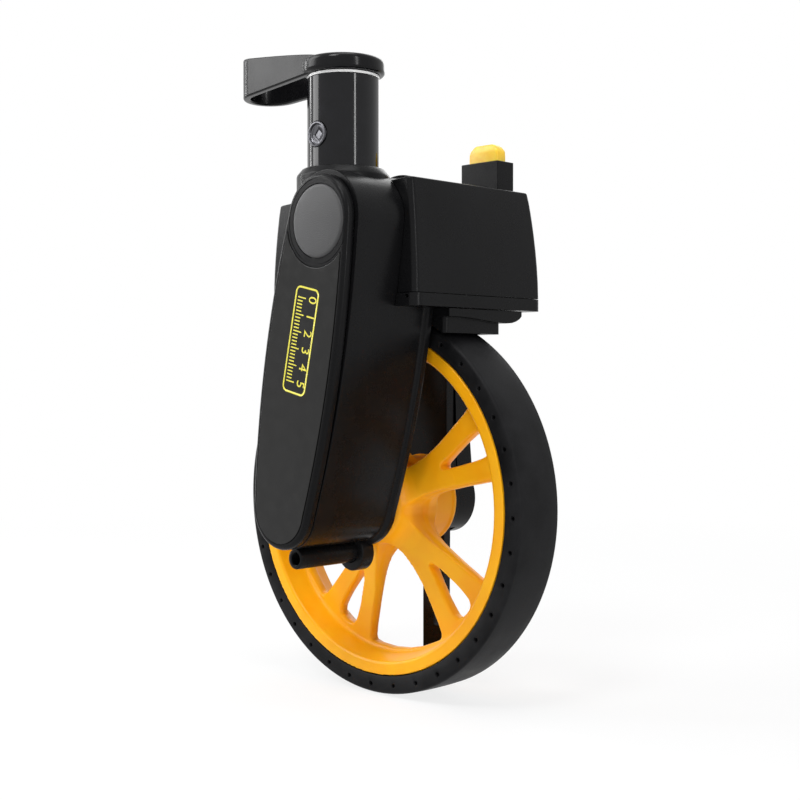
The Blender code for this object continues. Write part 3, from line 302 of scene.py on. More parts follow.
class Paint:
    def __init__(self, name, owner=None):
        self.material = owner or bpy.data.materials.new(name)
        self.material.use_nodes = True
        self.tree = self.material.node_tree
        self.tree.nodes.clear()

    def add(self, kind, settings=None, sockets=None, output=0):
        # settings come first, since they decide which sockets a node shows
        node = self.tree.nodes.new("ShaderNode" + kind)
        for key, value in (settings or {}).items():
            if key == "stops":
                for index, (place, colour) in enumerate(value):
                    stops = node.color_ramp.elements
                    stop = stops[index] if index < len(stops) else stops.new(place)
                    stop.position = place
                    stop.color = (*colour, 1) if len(colour) == 3 else colour
            else:
                setattr(node, key, value)
        for key, value in (sockets or {}).items():
            if isinstance(value, Wire):
                self.tree.links.new(value.socket, node.inputs[key])
            elif hasattr(value, "__len__") and node.inputs[key].type == "RGBA":
                node.inputs[key].default_value = (*value, 1)
            else:
                node.inputs[key].default_value = value
        return Wire(self, node.outputs[output]) if node.outputs else None

    def place(self):
        return self.add("TexCoord", output="Object")

    def stretched(self, x, y, z):
        return self.add("VectorMath", {"operation": "MULTIPLY"}, {0: self.place(), 1: (x, y, z)})

    def noise(self, size, detail=3.0, roughness=0.5, vector=None):
        # size is the width of a blotch in millimetres
        return self.add("TexNoise", None, {"Vector": vector or self.place(), "Scale": 1 / (size * mm),
                                           "Detail": detail, "Roughness": roughness})

    def between(self, value, low, high, outLow=0.0, outHigh=1.0):
        return self.add("MapRange", None, {0: value, 1: low, 2: high, 3: outLow, 4: outHigh})

    def blend(self, share, first, second):
        return self.add("Mix", {"data_type": "RGBA"}, {0: share, 6: first, 7: second}, 2)

    def mottled(self, cloud, low, high, colour, gain, lift=0.0):
        # a colour that turns into a paler or darker one of itself where the noise is high
        other = tuple(part * gain + lift for part in colour)
        return self.blend(self.between(cloud, low, high), colour, other)

    def bump(self, height, depth, strength=1.0):
        # depth is the height of the relief in millimetres
        return self.add("Bump", None, {"Height": height, "Distance": depth * mm, "Strength": strength})

    def seenBy(self, *rays):
        # 1 for the rays that are named, 0 for all others
        share = self.add("LightPath", output=rays[0])
        for ray in rays[1:]:
            share = share.atLeast(self.add("LightPath", output=ray))
        return share

    def finish(self, **sockets):
        named = {key[0].upper() + "".join(" " + c if c.isupper() else c for c in key[1:]): value
                 for key, value in sockets.items()}
        inputs = {plainNames.get(key, key): value for key, value in named.items()}
        self.add("OutputMaterial", None, {"Surface": self.add("BsdfPrincipled", None, inputs)})
        return self.material


plainNames = {"Ior": "IOR", "Specular": "Specular IOR Level", "Subsurface": "Subsurface Weight",
              "Transmission": "Transmission Weight"}


def mouldedBlack(name, colour, roughness, grain, grainDepth, specular=0.16, sheenPatch=0.06):
    # textured black plastic: a fine spark-eroded grain, with slow changes in how matt it is
    paint = Paint(name)
    fine = paint.noise(grain, 2.0, 0.6)
    patch = paint.noise(14, 3.0)
    flow = paint.noise(45, 2.0, 0.4, paint.stretched(1, 1, 0.35))
    dark = paint.mottled(flow, 0.35, 0.7, colour, 1.5, 0.002)
    matt = paint.between(patch, 0.3, 0.7, roughness - sheenPatch, roughness + sheenPatch)
    matt = matt + (fine - 0.5) * 0.12
    return paint.finish(baseColor=dark, roughness=matt, normal=paint.bump(fine, grainDepth),
                        specular=specular)


def glossBlack(name, colour, roughness, streak, specular):
    # smooth black, slightly wavy as a lacquer or a polished mould leaves it
    paint = Paint(name)
    wave = paint.noise(16, 2.0, 0.4, paint.stretched(1, 1, streak))
    haze = paint.noise(5, 4.0, 0.6)
    dust = paint.noise(0.5, 2.0)
    matt = paint.between(haze, 0.35, 0.75, roughness, roughness + 0.08)
    matt = matt + paint.between(dust, 0.68, 0.78, 0, 0.1)
    shade = paint.mottled(haze, 0.4, 0.7, colour, 1.6)
    return paint.finish(baseColor=shade, roughness=matt, normal=paint.bump(wave, 0.16), specular=specular)


def orangePlastic():
    paint = Paint("orange moulded plastic")
    flow = paint.noise(26, 4.0, 0.55)
    swirl = paint.noise(6, 3.0, 0.5)
    fine = paint.noise(0.7, 2.0)
    deep, bright = (0.98, 0.40, 0.003), (1.0, 0.47, 0.006)
    colour = paint.blend(paint.between(flow * 0.7 + swirl * 0.3, 0.38, 0.62), deep, bright)
    matt = paint.between(swirl, 0.3, 0.7, 0.3, 0.42)
    relief = fine * 0.35 + swirl * 0.65
    return paint.finish(baseColor=colour, roughness=matt, normal=paint.bump(relief, 0.05), subsurface=0.05,
                        subsurfaceRadius=(0.004, 0.0015, 0.0003), subsurfaceScale=0.3, specular=0.22)


def rubber(name, colour, roughness):
    paint = Paint(name)
    dust = paint.noise(11, 4.0, 0.6)
    fine = paint.noise(0.35, 3.0, 0.65)
    pore = paint.noise(1.4, 2.0)
    shade = paint.mottled(dust, 0.35, 0.75, colour, 1.7, 0.004)
    matt = paint.between(dust, 0.3, 0.7, roughness - 0.08, roughness + 0.06) + (fine - 0.5) * 0.1
    return paint.finish(baseColor=shade, roughness=matt, normal=paint.bump(fine * 0.6 + pore * 0.4, 0.05),
                        specular=0.08)


def brightMetal(name, colour, roughness, streaks):
    # drawn or turned metal: streaks is how the noise is stretched along the work
    paint = Paint(name)
    line = paint.noise(0.5, 3.0, 0.6, paint.stretched(*streaks))
    stain = paint.noise(7, 3.0)
    shade = paint.mottled(stain, 0.35, 0.7, colour, 0.85)
    matt = paint.between(line, 0.3, 0.7, roughness, roughness + 0.14)
    return paint.finish(baseColor=shade, metallic=1.0, roughness=matt, normal=paint.bump(line, 0.015))


def palePlastic(name, colour, roughness):
    paint = Paint(name)
    cloud = paint.noise(4, 3.0)
    fine = paint.noise(0.3, 2.0)
    shade = paint.mottled(cloud, 0.3, 0.7, colour, 0.92)
    matt = paint.between(cloud, 0.3, 0.7, roughness - 0.05, roughness + 0.05)
    return paint.finish(baseColor=shade, roughness=matt, normal=paint.bump(fine, 0.01))


def yellowPlastic():
    paint = Paint("yellow button plastic")
    cloud = paint.noise(3.5, 3.0)
    fine = paint.noise(0.5, 2.0)
    colour = paint.blend(paint.between(cloud, 0.35, 0.65), (0.95, 0.55, 0.012), (1.0, 0.68, 0.05))
    matt = paint.between(cloud, 0.3, 0.7, 0.28, 0.4)
    return paint.finish(baseColor=colour, roughness=matt, normal=paint.bump(fine, 0.02), subsurface=0.35,
                        subsurfaceRadius=(0.003, 0.002, 0.0006), subsurfaceScale=0.6)


def clearLens():
    paint = Paint("clear window")
    haze = paint.noise(3, 3.0)
    return paint.finish(baseColor=(0.96, 0.97, 0.98), roughness=paint.between(haze, 0.3, 0.7, 0.01, 0.06),
                        transmission=1.0, ior=1.49, normal=paint.bump(haze, 0.004))


def printInk(name, colour):
    paint = Paint(name)
    patch = paint.noise(0.8, 3.0)
    shade = paint.mottled(patch, 0.3, 0.7, colour, 0.86)
    matt = paint.between(patch, 0.3, 0.7, 0.3, 0.45)
    return paint.finish(baseColor=shade, roughness=matt, normal=paint.bump(patch, 0.008))


satinBlack = mouldedBlack("satin black plastic", (0.0042, 0.0042, 0.0046), 0.28, 0.55, 0.03, 0.09)
coarseBlack = mouldedBlack("grained black plastic", (0.036, 0.036, 0.037), 0.5, 0.42, 0.1, 0.3)
gripBlack = mouldedBlack("loop black plastic", (0.0035, 0.0035, 0.004), 0.2, 0.8, 0.01, 0.14)
labelBlack = glossBlack("label gloss", (0.005, 0.0049, 0.0047), 0.12, 0.5, 0.28)
tubeBlack = glossBlack("black tube", (0.003, 0.003, 0.004), 0.06, 0.05, 0.26)
legBlack = glossBlack("black leg", (0.004, 0.004, 0.0045), 0.2, 0.3, 0.14)
orange = orangePlastic()
tyreRubber = rubber("tyre rubber", (0.006, 0.006, 0.0066), 0.5)
footRubber = rubber("foot rubber", (0.014, 0.014, 0.014), 0.7)
zincSteel = brightMetal("zinc steel", (0.56, 0.57, 0.6), 0.25, (1, 6, 1))
darkSteel = brightMetal("dark screw", (0.12, 0.12, 0.13), 0.28, (1, 1, 1))
brightTube = brightMetal("bright tube", (0.86, 0.87, 0.89), 0.12, (8, 8, 0.2))
acetal = palePlastic("natural gear plastic", (0.78, 0.77, 0.73), 0.45)
# the guide ring's pale plastic, made lighter than the gear plastic as painted light: the raised colour stands in
# for light on a ring that sits in shade under the loop's collar
paleGuideWithPaintedLight = palePlastic("pale guide plastic lightened as painted light", (0.93, 0.93, 0.92), 0.4)
drumWhite = palePlastic("drum white", (0.86, 0.86, 0.84), 0.4)
lens = clearLens()
yellow = yellowPlastic()
yellowInk = printInk("yellow print", (0.80, 0.72, 0.06))
blackInk = printInk("black print", (0.012, 0.012, 0.012))
print("materials made")

slots = {row["node"]: row["material_slot"] for row in frame["record"]["subparts"]}
slotFinish = {"steel": zincSteel, "gear_plastic": acetal, "drum_white": drumWhite, "clear_lens": lens,
              "bright_tube": brightTube, "satin_black": satinBlack, "tube_black": tubeBlack,
              "tyre": tyreRubber, "leg_black": legBlack, "label_black": labelBlack, "wheel_orange": orange,
              "foot_rubber": footRubber, "button_yellow": yellow}
for name, node in nodes.items():
    node.data.materials.clear()
    node.data.materials.append(slotFinish[slots[name]])

# Camera and light

look = {"azimuth": 44.673, "elevation": 1.076, "distance": 565.16, "right": 3.067, "up": 42.592,
        "lens": 60.18, "sensor": 36, "clip": 0.01}


def towards(azimuth, elevation):
    # an azimuth of 0 looks at the near side, and 90 at the front
    flat = math.cos(elevation)
    return Vector((math.sin(azimuth) * flat, -math.cos(azimuth) * flat, math.sin(elevation)))


azimuth, elevation = math.radians(look["azimuth"]), math.radians(look["elevation"])
back = towards(azimuth, elevation)
right = Vector((math.cos(azimuth), math.sin(azimuth), 0))
cameraData = bpy.data.cameras.new("photo camera")
cameraData.lens = look["lens"]
cameraData.sensor_width = look["sensor"]
cameraData.clip_start = look["clip"]
camera = bpy.data.objects.new("photo camera", cameraData)
camera.location = axle + (back * look["distance"] + right * look["right"] + Vector((0, 0, look["up"]))) * mm
camera.rotation_euler = (tau / 4 - elevation, 0, azimuth)
bpy.context.scene.collection.objects.link(camera)
bpy.context.scene.camera = camera
bpy.context.scene.view_settings.view_transform = "Standard"


def addLight(name, power, size, turn, lift, away, tall=None):
    light = bpy.data.lights.new(name, "AREA")
    light.energy = power
    light.shape = "RECTANGLE"
    light.size = size
    light.size_y = tall or size
    lamp = bpy.data.objects.new(name, light)
    aim = towards(math.radians(turn), math.radians(lift))
    lamp.location = aim * away
    lamp.rotation_mode = "QUATERNION"
    lamp.rotation_quaternion = aim.to_track_quat("Z", "Y")
    bpy.context.scene.collection.objects.link(lamp)


addLight("left box", 7.5, 0.5, -52, 27, 1.1, 0.8)
addLight("left strip", 2.4, 0.05, -80, 8, 1.1, 1.0)
addLight("front", 6.5, 0.35, 14, 48, 1.2)
addLight("right strip", 4.5, 0.07, 84, 8, 1.1, 1.1)
addLight("top", 4.5, 0.6, 70, 80, 1.1)
addLight("rear", 2.5, 0.4, 205, 30, 1.1, 0.9)

studio = {"dim": 0.22, "dimTint": (0.9, 0.92, 0.95), "white": 1.0, "floorWhite": 0.8, "whiteFrom": 0.2,
          "whiteTo": 0.8, "floorTones": ((0.93, 0.93, 0.93), (0.95, 0.95, 0.95)), "floorGap": 0.0002,
          "reach": 6.0}
world = bpy.data.worlds.new("studio")
bpy.context.scene.world = world
sky = Paint("studio", world)
dim = sky.add("Background", None, {"Color": studio["dimTint"], "Strength": studio["dim"]})
white = sky.add("Background", None, {"Color": (1, 1, 1), "Strength": studio["white"]})
seen = sky.seenBy("Is Camera Ray", "Is Transmission Ray", "Is Glossy Ray")
sky.add("OutputWorld", None, {"Surface": sky.add("MixShader", None, {0: seen, 1: dim, 2: white})})

floorPaint = Paint("pale floor")
floorTone = floorPaint.noise(60, 2.0)
floorColour = floorPaint.blend(floorPaint.between(floorTone, 0.3, 0.7), *studio["floorTones"])
lit = floorPaint.add("BsdfDiffuse", None, {"Color": floorColour})
glow = floorPaint.add("Emission", None, {"Color": (1, 1, 1), "Strength": studio["white"]})
farAway = floorPaint.add("VectorMath", {"operation": "LENGTH"}, {0: floorPaint.place()}, 1)
whitening = floorPaint.between(farAway, studio["whiteFrom"], studio["whiteTo"], studio["floorWhite"], 1.0)
whiteShare = floorPaint.seenBy("Is Camera Ray", "Is Glossy Ray") * whitening
floorShader = floorPaint.add("MixShader", None, {0: whiteShare, 1: lit, 2: glow})
floorPaint.add("OutputMaterial", None, {"Surface": floorShader})
floorMesh = bpy.data.meshes.new("floor")
floorZ = cadBounds[0].z - studio["floorGap"]
reach = studio["reach"]
floorCorners = [(x * reach, y * reach, floorZ) for x, y in ((-1, -1), (1, -1), (1, 1), (-1, 1))]
floorMesh.from_pydata(floorCorners, [], [(0, 1, 2, 3)])
floorMesh.materials.append(floorPaint.material)
floor = bpy.data.objects.new("floor", floorMesh)
bpy.context.scene.collection.objects.link(floor)
print("camera, lights and floor made")


def blackPiece(name, shape, replaced, creased=30):
    # most of the frame's mouldings are the same satin black
    return makePiece(name, shape, satinBlack, "frame", [replaced], creased)


# Wheel

wheelSizes = {"rim": 71.48, "half": 12.0, "lip": 66.2, "bowl": 63.6, "web": 62.6, "webHalf": 2.4,
              "hub": 18.5, "nearHub": 17.2, "nose": 13.5, "bore": 3.4, "near": -13.8, "far": 19.5,
              "spokes": 5, "firstSpoke": 27, "windowIn": 17.0, "windowOut": 61.8, "windowHalf": 20.2,
              "dropIn": 35.0, "dropOut": 60.0, "dropHalf": 5.2, "flare": 0.9, "mid": 0.7, "voxel": 0.5,
              "smoothing": 4, "keepShare": 0.4}
windowSide = ((0.0, 0.0), (0.002, 0.24), (0.02, 0.46), (0.06, 0.67), (0.14, 0.86), (0.3, 0.97), (0.6, 1.0),
              (0.85, 1.0), (0.955, 0.985), (0.99, 0.94), (1.0, 0.86), (1.0, 0.4), (1.0, 0.0))
dropSide = ((0.0, 0.0), (0.005, 0.12), (0.04, 0.24), (0.12, 0.33), (0.3, 0.52), (0.55, 0.77), (0.75, 0.95),
            (0.86, 1.0), (0.95, 0.84), (0.99, 0.5), (1.0, 0.0))


def levelsThrough(half, middle, depth):
    # where a hole's rings lie across the wheel, and how much of the flare each has
    return ((-half, 1.3), (middle - depth, 1.0), (middle - depth * 0.6, 0.25), (middle, 0.0),
            (middle + depth * 0.6, 0.25), (middle + depth, 1.0), (half, 1.3))


def dropHole(angle):
    s = wheelSizes
    out = Vector((math.cos(angle), math.sin(angle)))
    across = Vector((-out.y, out.x))
    centre = out * (s["dropIn"] + s["dropOut"]) / 2
    outline = []
    for side in (1, -1):
        run = [out * (s["dropIn"] + (s["dropOut"] - s["dropIn"]) * a) + across * side * s["dropHalf"] * b
               for a, b in dropSide]
        outline += run if side == 1 else run[-2:0:-1]
    rings = []
    for y, share in levelsThrough(s["half"] + 1, s["mid"], s["webHalf"]):
        grown = [point + (point - centre).normalized() * s["flare"] * share for point in outline]
        rings.append([(point.x, y, point.y) for point in grown])
    return grid(rings)


def windowHole(middle):
    # beyond the web's far face the window stops at the hub's thicker far barrel
    s = wheelSizes
    rings = []
    for y, share in levelsThrough(s["half"] + 1, s["mid"], s["webHalf"]):
        inner = s["windowIn"] if y < s["mid"] + 1 else s["hub"] + 0.15
        outer = s["windowOut"] + s["flare"] * share * 0.5
        ring = []
        for side in (1, -1):
            run = []
            for a, b in windowSide:
                radius = inner + (outer - inner) * a
                half = math.radians(s["windowHalf"]) + s["flare"] * share / max(radius, 30)
                turn = middle + side * b * half
                run.append((radius * math.cos(turn), y, radius * math.sin(turn)))
            ring += run if side == 1 else run[-2:0:-1]
        rings.append(ring)
    return grid(rings)


def buildWheel():
    s = wheelSizes
    near, far = s["mid"] - s["webHalf"], s["mid"] + s["webHalf"]
    # the near hub and its flare, the near web and rim, then the same from the far side
    profile = [(s["bore"], s["near"]), (s["nose"], s["near"]), (15.4, -13.0), (16.6, -11.6),
               (s["nearHub"], -10.0), (18.6, -8.0), (21.0, -6.4), (25.0, -5.0), (31.0, -3.6),
               (39.0, near - 0.5), (s["web"] - 4, near),
               (s["web"], near), (s["bowl"], near - 1.2), (s["bowl"] + 0.5, near - 2.6),
               (s["lip"] - 0.2, -s["half"] + 0.6), (s["lip"] + 0.7, -s["half"]), (s["rim"], -s["half"]),
               (s["rim"], s["half"]),
               (s["lip"] + 0.7, s["half"]), (s["lip"] - 0.2, s["half"] - 0.6), (s["bowl"] + 0.5, far + 2.6),
               (s["bowl"], far + 1.2), (s["web"], far), (39.0, far), (27.0, far + 0.9), (21.5, far + 2.2),
               (s["hub"], far + 4.6), (s["hub"], 17.2), (s["hub"] + 0.7, 17.7), (s["hub"] + 0.7, 18.9),
               (s["hub"] + 0.1, s["far"]), (s["bore"], s["far"])]
    wheel = makePiece("wheel_moulding", lathe(profile, sides=180), orange, "road_wheel",
                      ["wheel"])
    holes = []
    sector = tau / s["spokes"]
    for spoke in range(s["spokes"]):
        angle = math.radians(s["firstSpoke"]) + sector * spoke
        holes.append(dropHole(angle))
        holes.append(windowHole(angle + sector / 2))
    carve(wheel, *holes)
    mould(wheel, s["voxel"], s["smoothing"], s["keepShare"])


# Tyre

tyreSizes = {"outer": 79.58, "seat": 71.78, "half": 12.0, "shoulder": 1.5, "crown": 0.25, "holes": 36,
             "firstHole": 9.2, "ring": 75.8, "hole": 0.85, "depth": 1.6, "creased": 50}


def buildTyre():
    s = tyreSizes
    profile = [(s["seat"], -s["half"] + 0.4), (s["seat"] + 0.4, -s["half"])]
    corner = [(s["outer"] - s["crown"] - s["shoulder"] * alongShare, s["shoulder"] * inShare)
              for inShare, alongShare in roundCorner()]
    profile += [(radius, -s["half"] + inset) for radius, inset in reversed(corner)]
    shoulder = s["outer"] - s["crown"] * 0.3
    profile += [(shoulder, -s["half"] * 0.5), (s["outer"], 0), (shoulder, s["half"] * 0.5)]
    profile += [(radius, s["half"] - inset) for radius, inset in corner]
    profile += [(s["seat"] + 0.4, s["half"]), (s["seat"], s["half"] - 0.4)]
    tyre = makePiece("tyre_band", lathe(profile, sides=180), tyreRubber, "road_wheel", ["tyre"],
                     s["creased"])
    pits = []
    for number in range(s["holes"]):
        turn = math.radians(s["firstHole"]) + tau * number / s["holes"]
        centre = (s["ring"] * math.cos(turn), 0, s["ring"] * math.sin(turn))
        for side in (-1, 1):
            face, floorY = side * (s["half"] + 1), side * (s["half"] - s["depth"])
            mouth = side * (s["half"] - 0.01)
            pits.append(lathe([(0, floorY), (s["hole"] * 0.9, floorY), (s["hole"], mouth - side * 0.3),
                               (s["hole"] + 0.3, mouth + side * 0.05), (s["hole"] + 0.3, face), (0, face)],
                              "Y", centre, 14))
    carve(tyre, join(*pits))
    tyre.data.set_sharp_from_angle(angle=math.radians(s["creased"]))


# Gear case, its cover, its label and its round cap

caseSizes = {"bottom": (-1.0, 1.0), "bottomRadius": 16.5, "top": (20.8, 112.3), "topRadius": 19.0,
             "frontBulge": 3.6, "rearBulge": 4.0, "near": -57.5, "inner": -15.0, "wall": 2.5,
             "flange": 2.0, "flangeDepth": 3.0, "flangeWall": 1.4, "flangeRecess": -24.2, "tubeGap": 0.3,
             "tubeCut": (34, 88), "mouthGap": 2.0, "mouthCut": (86.5, 140), "innerWall": (-19, -13),
             "socket": ((16.2, 84.0), (18.5, 88.0), (18.5, 130.6), (18.3, 131.4), (16.4, 133.7),
                        (15.8, 134.0)),
             "ear": ((6.9, -21.6), (7.5, -21.3), (7.8, -20.7), (7.8, -15.3)), "earCentre": (-3.5, 0, -20.1),
             "earHole": 4.5, "axleHole": 5.4, "pinHole": 2.4, "room": 0.3, "socketRoom": 18.8}


def caseOutline(grow=0.0, topTrim=0.0, sideSteps=26, endSteps=40):
    s = caseSizes
    bottom, top = Vector(s["bottom"]), Vector(s["top"])
    along = (top - bottom).normalized()
    front = Vector((along.y, -along.x))
    bottomRadius, topRadius = s["bottomRadius"] + grow, s["topRadius"] - topTrim + grow
    lean = math.atan2(front.y, front.x)
    points = arcPoints(bottom, bottomRadius, lean - tau / 2, lean, endSteps)
    sides = []
    for side, bulge in ((1, s["frontBulge"]), (-1, s["rearBulge"])):
        run = []
        for step in range(1, sideSteps):
            share = step / sideSteps
            half = bottomRadius + (topRadius - bottomRadius) * share + bulge * 4 * share * (1 - share)
            run.append(tuple(bottom + (top - bottom) * share + front * side * half))
        sides.append(run)
    return points + sides[0] + arcPoints(top, topRadius, lean, lean + tau / 2, endSteps) + sides[1][::-1]


def caseRing(y, grow, topTrim=0.0):
    return [(x, y, z) for x, z in caseOutline(grow, topTrim)]


def buildGearCase():
    s = caseSizes
    near, inner, flange = s["near"], s["inner"], s["flange"]
    lip = inner - s["flangeDepth"]
    # across the case, and how far each level stands out: the near edge, the wall, then the lip
    levels = ((near, -0.35), (near + 0.12, -0.12), (near + 0.4, 0.0), (near + 14, 0.02), (lip - 12, 0.05),
              (lip - 1.3, 0.1), (lip - 0.7, 0.2), (lip - 0.25, 0.55), (lip, 1.1),
              (lip + 0.12, flange - 0.45), (lip + 0.4, flange - 0.12), (lip + 0.8, flange),
              (inner - 0.6, flange), (inner - 0.15, flange - 0.15), (inner, flange - 0.6))
    case = blackPiece("gear_case_shell", grid([caseRing(y, grow) for y, grow in levels]), "gear_case")
    carve(case, slab(caseOutline(-s["wall"]), near - 2, inner - s["wall"]))
    low, high = boxOf("outer_tube")
    x, y, _ = middleOf("outer_tube")
    centre = (x, y, 0)
    bore = (high.x - low.x) / 2 + s["tubeGap"]
    carve(case, drum(bore + s["tubeGap"], *s["tubeCut"], "Z", centre, 96),
          drum(bore + s["mouthGap"], *s["mouthCut"], "Z", centre, 96))
    socket, ear = s["socket"], s["ear"]
    weld(case, lathe([(bore, socket[0][1]), *socket, (bore, socket[-1][1])], "Z", centre, 128))
    weld(case, lathe([(0, ear[0][1]), *ear, (0, ear[-1][1])], "Y", s["earCentre"], 64))
    carve(case, slab(caseOutline(-s["flangeWall"]), s["flangeRecess"], inner - s["wall"]))
    holes = [drum(s["axleHole"], *s["innerWall"], "Y", (0, 0, 0), 48),
             drum(s["earHole"], -23, -18, "Y", s["earCentre"], 48)]
    for name in ("idler_pin_1", "idler_pin_2", "idler_pin_3", "counter_shaft"):
        x, _, z = middleOf(name)
        holes.append(drum(s["pinHole"], *s["innerWall"], "Y", (x, 0, z), 32))
    carve(case, join(*holes))
    evenShading(case, 32)


coverSizes = {"near": -61.8, "trim": 1.9, "round": 1.9, "edge": 0.22, "margin": 2.6, "badge": 14.0,
              "badgeRing": 3.4, "recess": 0.8, "panelProud": 0.3, "panelEdge": 0.3, "capProud": 0.55,
              "seat": 0.5, "through": (-70, -50)}


def buildCover():
    s = coverSizes
    near, trim, turn = s["near"], s["trim"], s["round"]
    far = caseSizes["near"] - 0.3
    levels = [(far, -0.5), (far - 0.1, -0.15), (far - 0.4, 0.0), (near + turn, 0.0)]
    levels += [(near + turn * inShare, -turn * alongShare) for inShare, alongShare in roundCorner(7)[1:]]
    shell = grid([caseRing(y, grow, trim) for y, grow in levels])
    cover = blackPiece("case_cover_shell", shell, "gear_case_cover")
    badge = (caseSizes["top"][0] + 1.0, 0, caseSizes["top"][1] - 1.0)
    ring = s["badge"] + s["badgeRing"]
    floorY, seatY = near + s["recess"], near + s["seat"]
    recess = makePiece("recess", slab(caseOutline(0.3 - s["margin"], trim), near - 2, floorY))
    carve(recess, drum(ring, *s["through"], "Y", badge, 120))
    cutWith(cover, recess)
    carve(cover, drum(s["badge"] + 0.3, -70, floorY, "Y", badge, 120))
    grooveIn, grooveOut, grooveEnd = ring - 1.15, ring - 0.85, near + 0.25
    groove = [(grooveIn, -63), (grooveOut, -63), (grooveOut, grooveEnd), (grooveIn, grooveEnd)]
    carve(cover, lathe(groove, "Y", badge, 120))
    roundEdges(cover, s["edge"], 2, 50)
    panel = makePiece("label_plate", slab(caseOutline(-s["margin"], trim), near - s["panelProud"], seatY),
                      labelBlack, "frame", ["label_panel"])
    carve(panel, drum(ring + 0.3, *s["through"], "Y", badge, 120))
    roundEdges(panel, s["panelEdge"], 3, 50)
    face = near - s["capProud"]
    cap = lathe([(0, face), (8, face), (12.6, face + 0.06), (13.5, face + 0.18), (13.9, face + 0.5),
                 (s["badge"], face + 0.9), (s["badge"], seatY), (0, seatY)], "Y", badge, 120)
    makePiece("round_cap", cap, coarseBlack, "frame", ["cap_disc"], 40)


pinSizes = {"bore": 2.5, "outer": 4.2}


def buildSleevePin():
    s = pinSizes
    low, high = boxOf("sleeve_pin")
    x, _, z = middleOf("sleeve_pin")
    near = low.y
    pin = [(s["bore"], near + 0.35), (2.85, near), (3.75, near), (4.1, near + 0.2),
           (s["outer"], near + 0.6), (s["outer"], high.y), (s["bore"], high.y)]
    blackPiece("hollow_pin", lathe(pin, "Y", (x, 0, z), 64), "sleeve_pin", 40)


# Counter box, its base, the window, the button and the bracket under it

boxSizes = {"rear": -38.0, "front": 46.5, "near": -34.5, "far": 41.2, "bottom": 84.9, "rearTop": 124.4,
            "frontTop": 129.8, "frontDraft": 4.5, "sideDraft": 2.0, "swell": 1.75, "wall": 1.8,
            "corner": 2.4, "edge": 0.9, "edgeRound": 0.3, "pinHole": 2.3,
            "levels": (0.0, 0.15, 0.3, 0.45, 0.6, 0.72, 0.82, 0.9)}
baseSizes = {"gap": 0.3, "thick": 4.9, "proud": 0.5, "corner": 4.0, "edge": 0.7, "post": 3.8,
             "nearPit": (42.6, 83.4), "nearPitRadius": 0.75, "farPits": ((36, 82.2), (-28, 82.2)),
             "farPitRadius": 0.9, "pitDepth": 1.6,
             "screws": ((-31, 30), (-31, -6), (38, 34))}


def boxTop(x):
    s = boxSizes
    return s["rearTop"] + (s["frontTop"] - s["rearTop"]) * (x - s["rear"]) / (s["front"] - s["rear"])


def boxRing(share, inset, sink):
    # one level of the drafted box: the draft grows faster towards the top, so the walls swell a little
    s = boxSizes
    draft = share ** s["swell"]
    corner = max(s["corner"] - inset * 0.5, 0.4)
    side, front = s["sideDraft"] * draft, s["frontDraft"] * draft
    outline = roundedBox(s["rear"] + inset + side, s["front"] - inset - front, s["near"] + inset + side,
                         s["far"] - inset - side, corner, 8)
    return [(x, y, s["bottom"] + (boxTop(x) - s["bottom"]) * share - sink) for x, y in outline]


def boxSolid(inset, bottomSink):
    s = boxSizes
    rings = [boxRing(share, inset, bottomSink if share == 0 else 0) for share in s["levels"]]
    edge = s["edge"] if inset == 0 else s["edge"] * 0.4
    for inShare, alongShare in roundCorner(6):
        rings.append(boxRing(1.0, inset + edge * alongShare, edge * inShare + inset))
    return grid(rings)


def caseRoom(low):
    # the room that the gear case, its flange and its socket take out of the box
    s = caseSizes
    x, y, _ = middleOf("outer_tube")
    far = s["inner"] + s["room"]
    return (slab(caseOutline(0.35), coverSizes["near"] - 4, far),
            slab(caseOutline(s["flange"] + s["room"]), s["inner"] - s["flangeDepth"] - 0.4, far + 0.01),
            drum(s["socketRoom"], low, 140, "Z", (x, y, 0), 96))


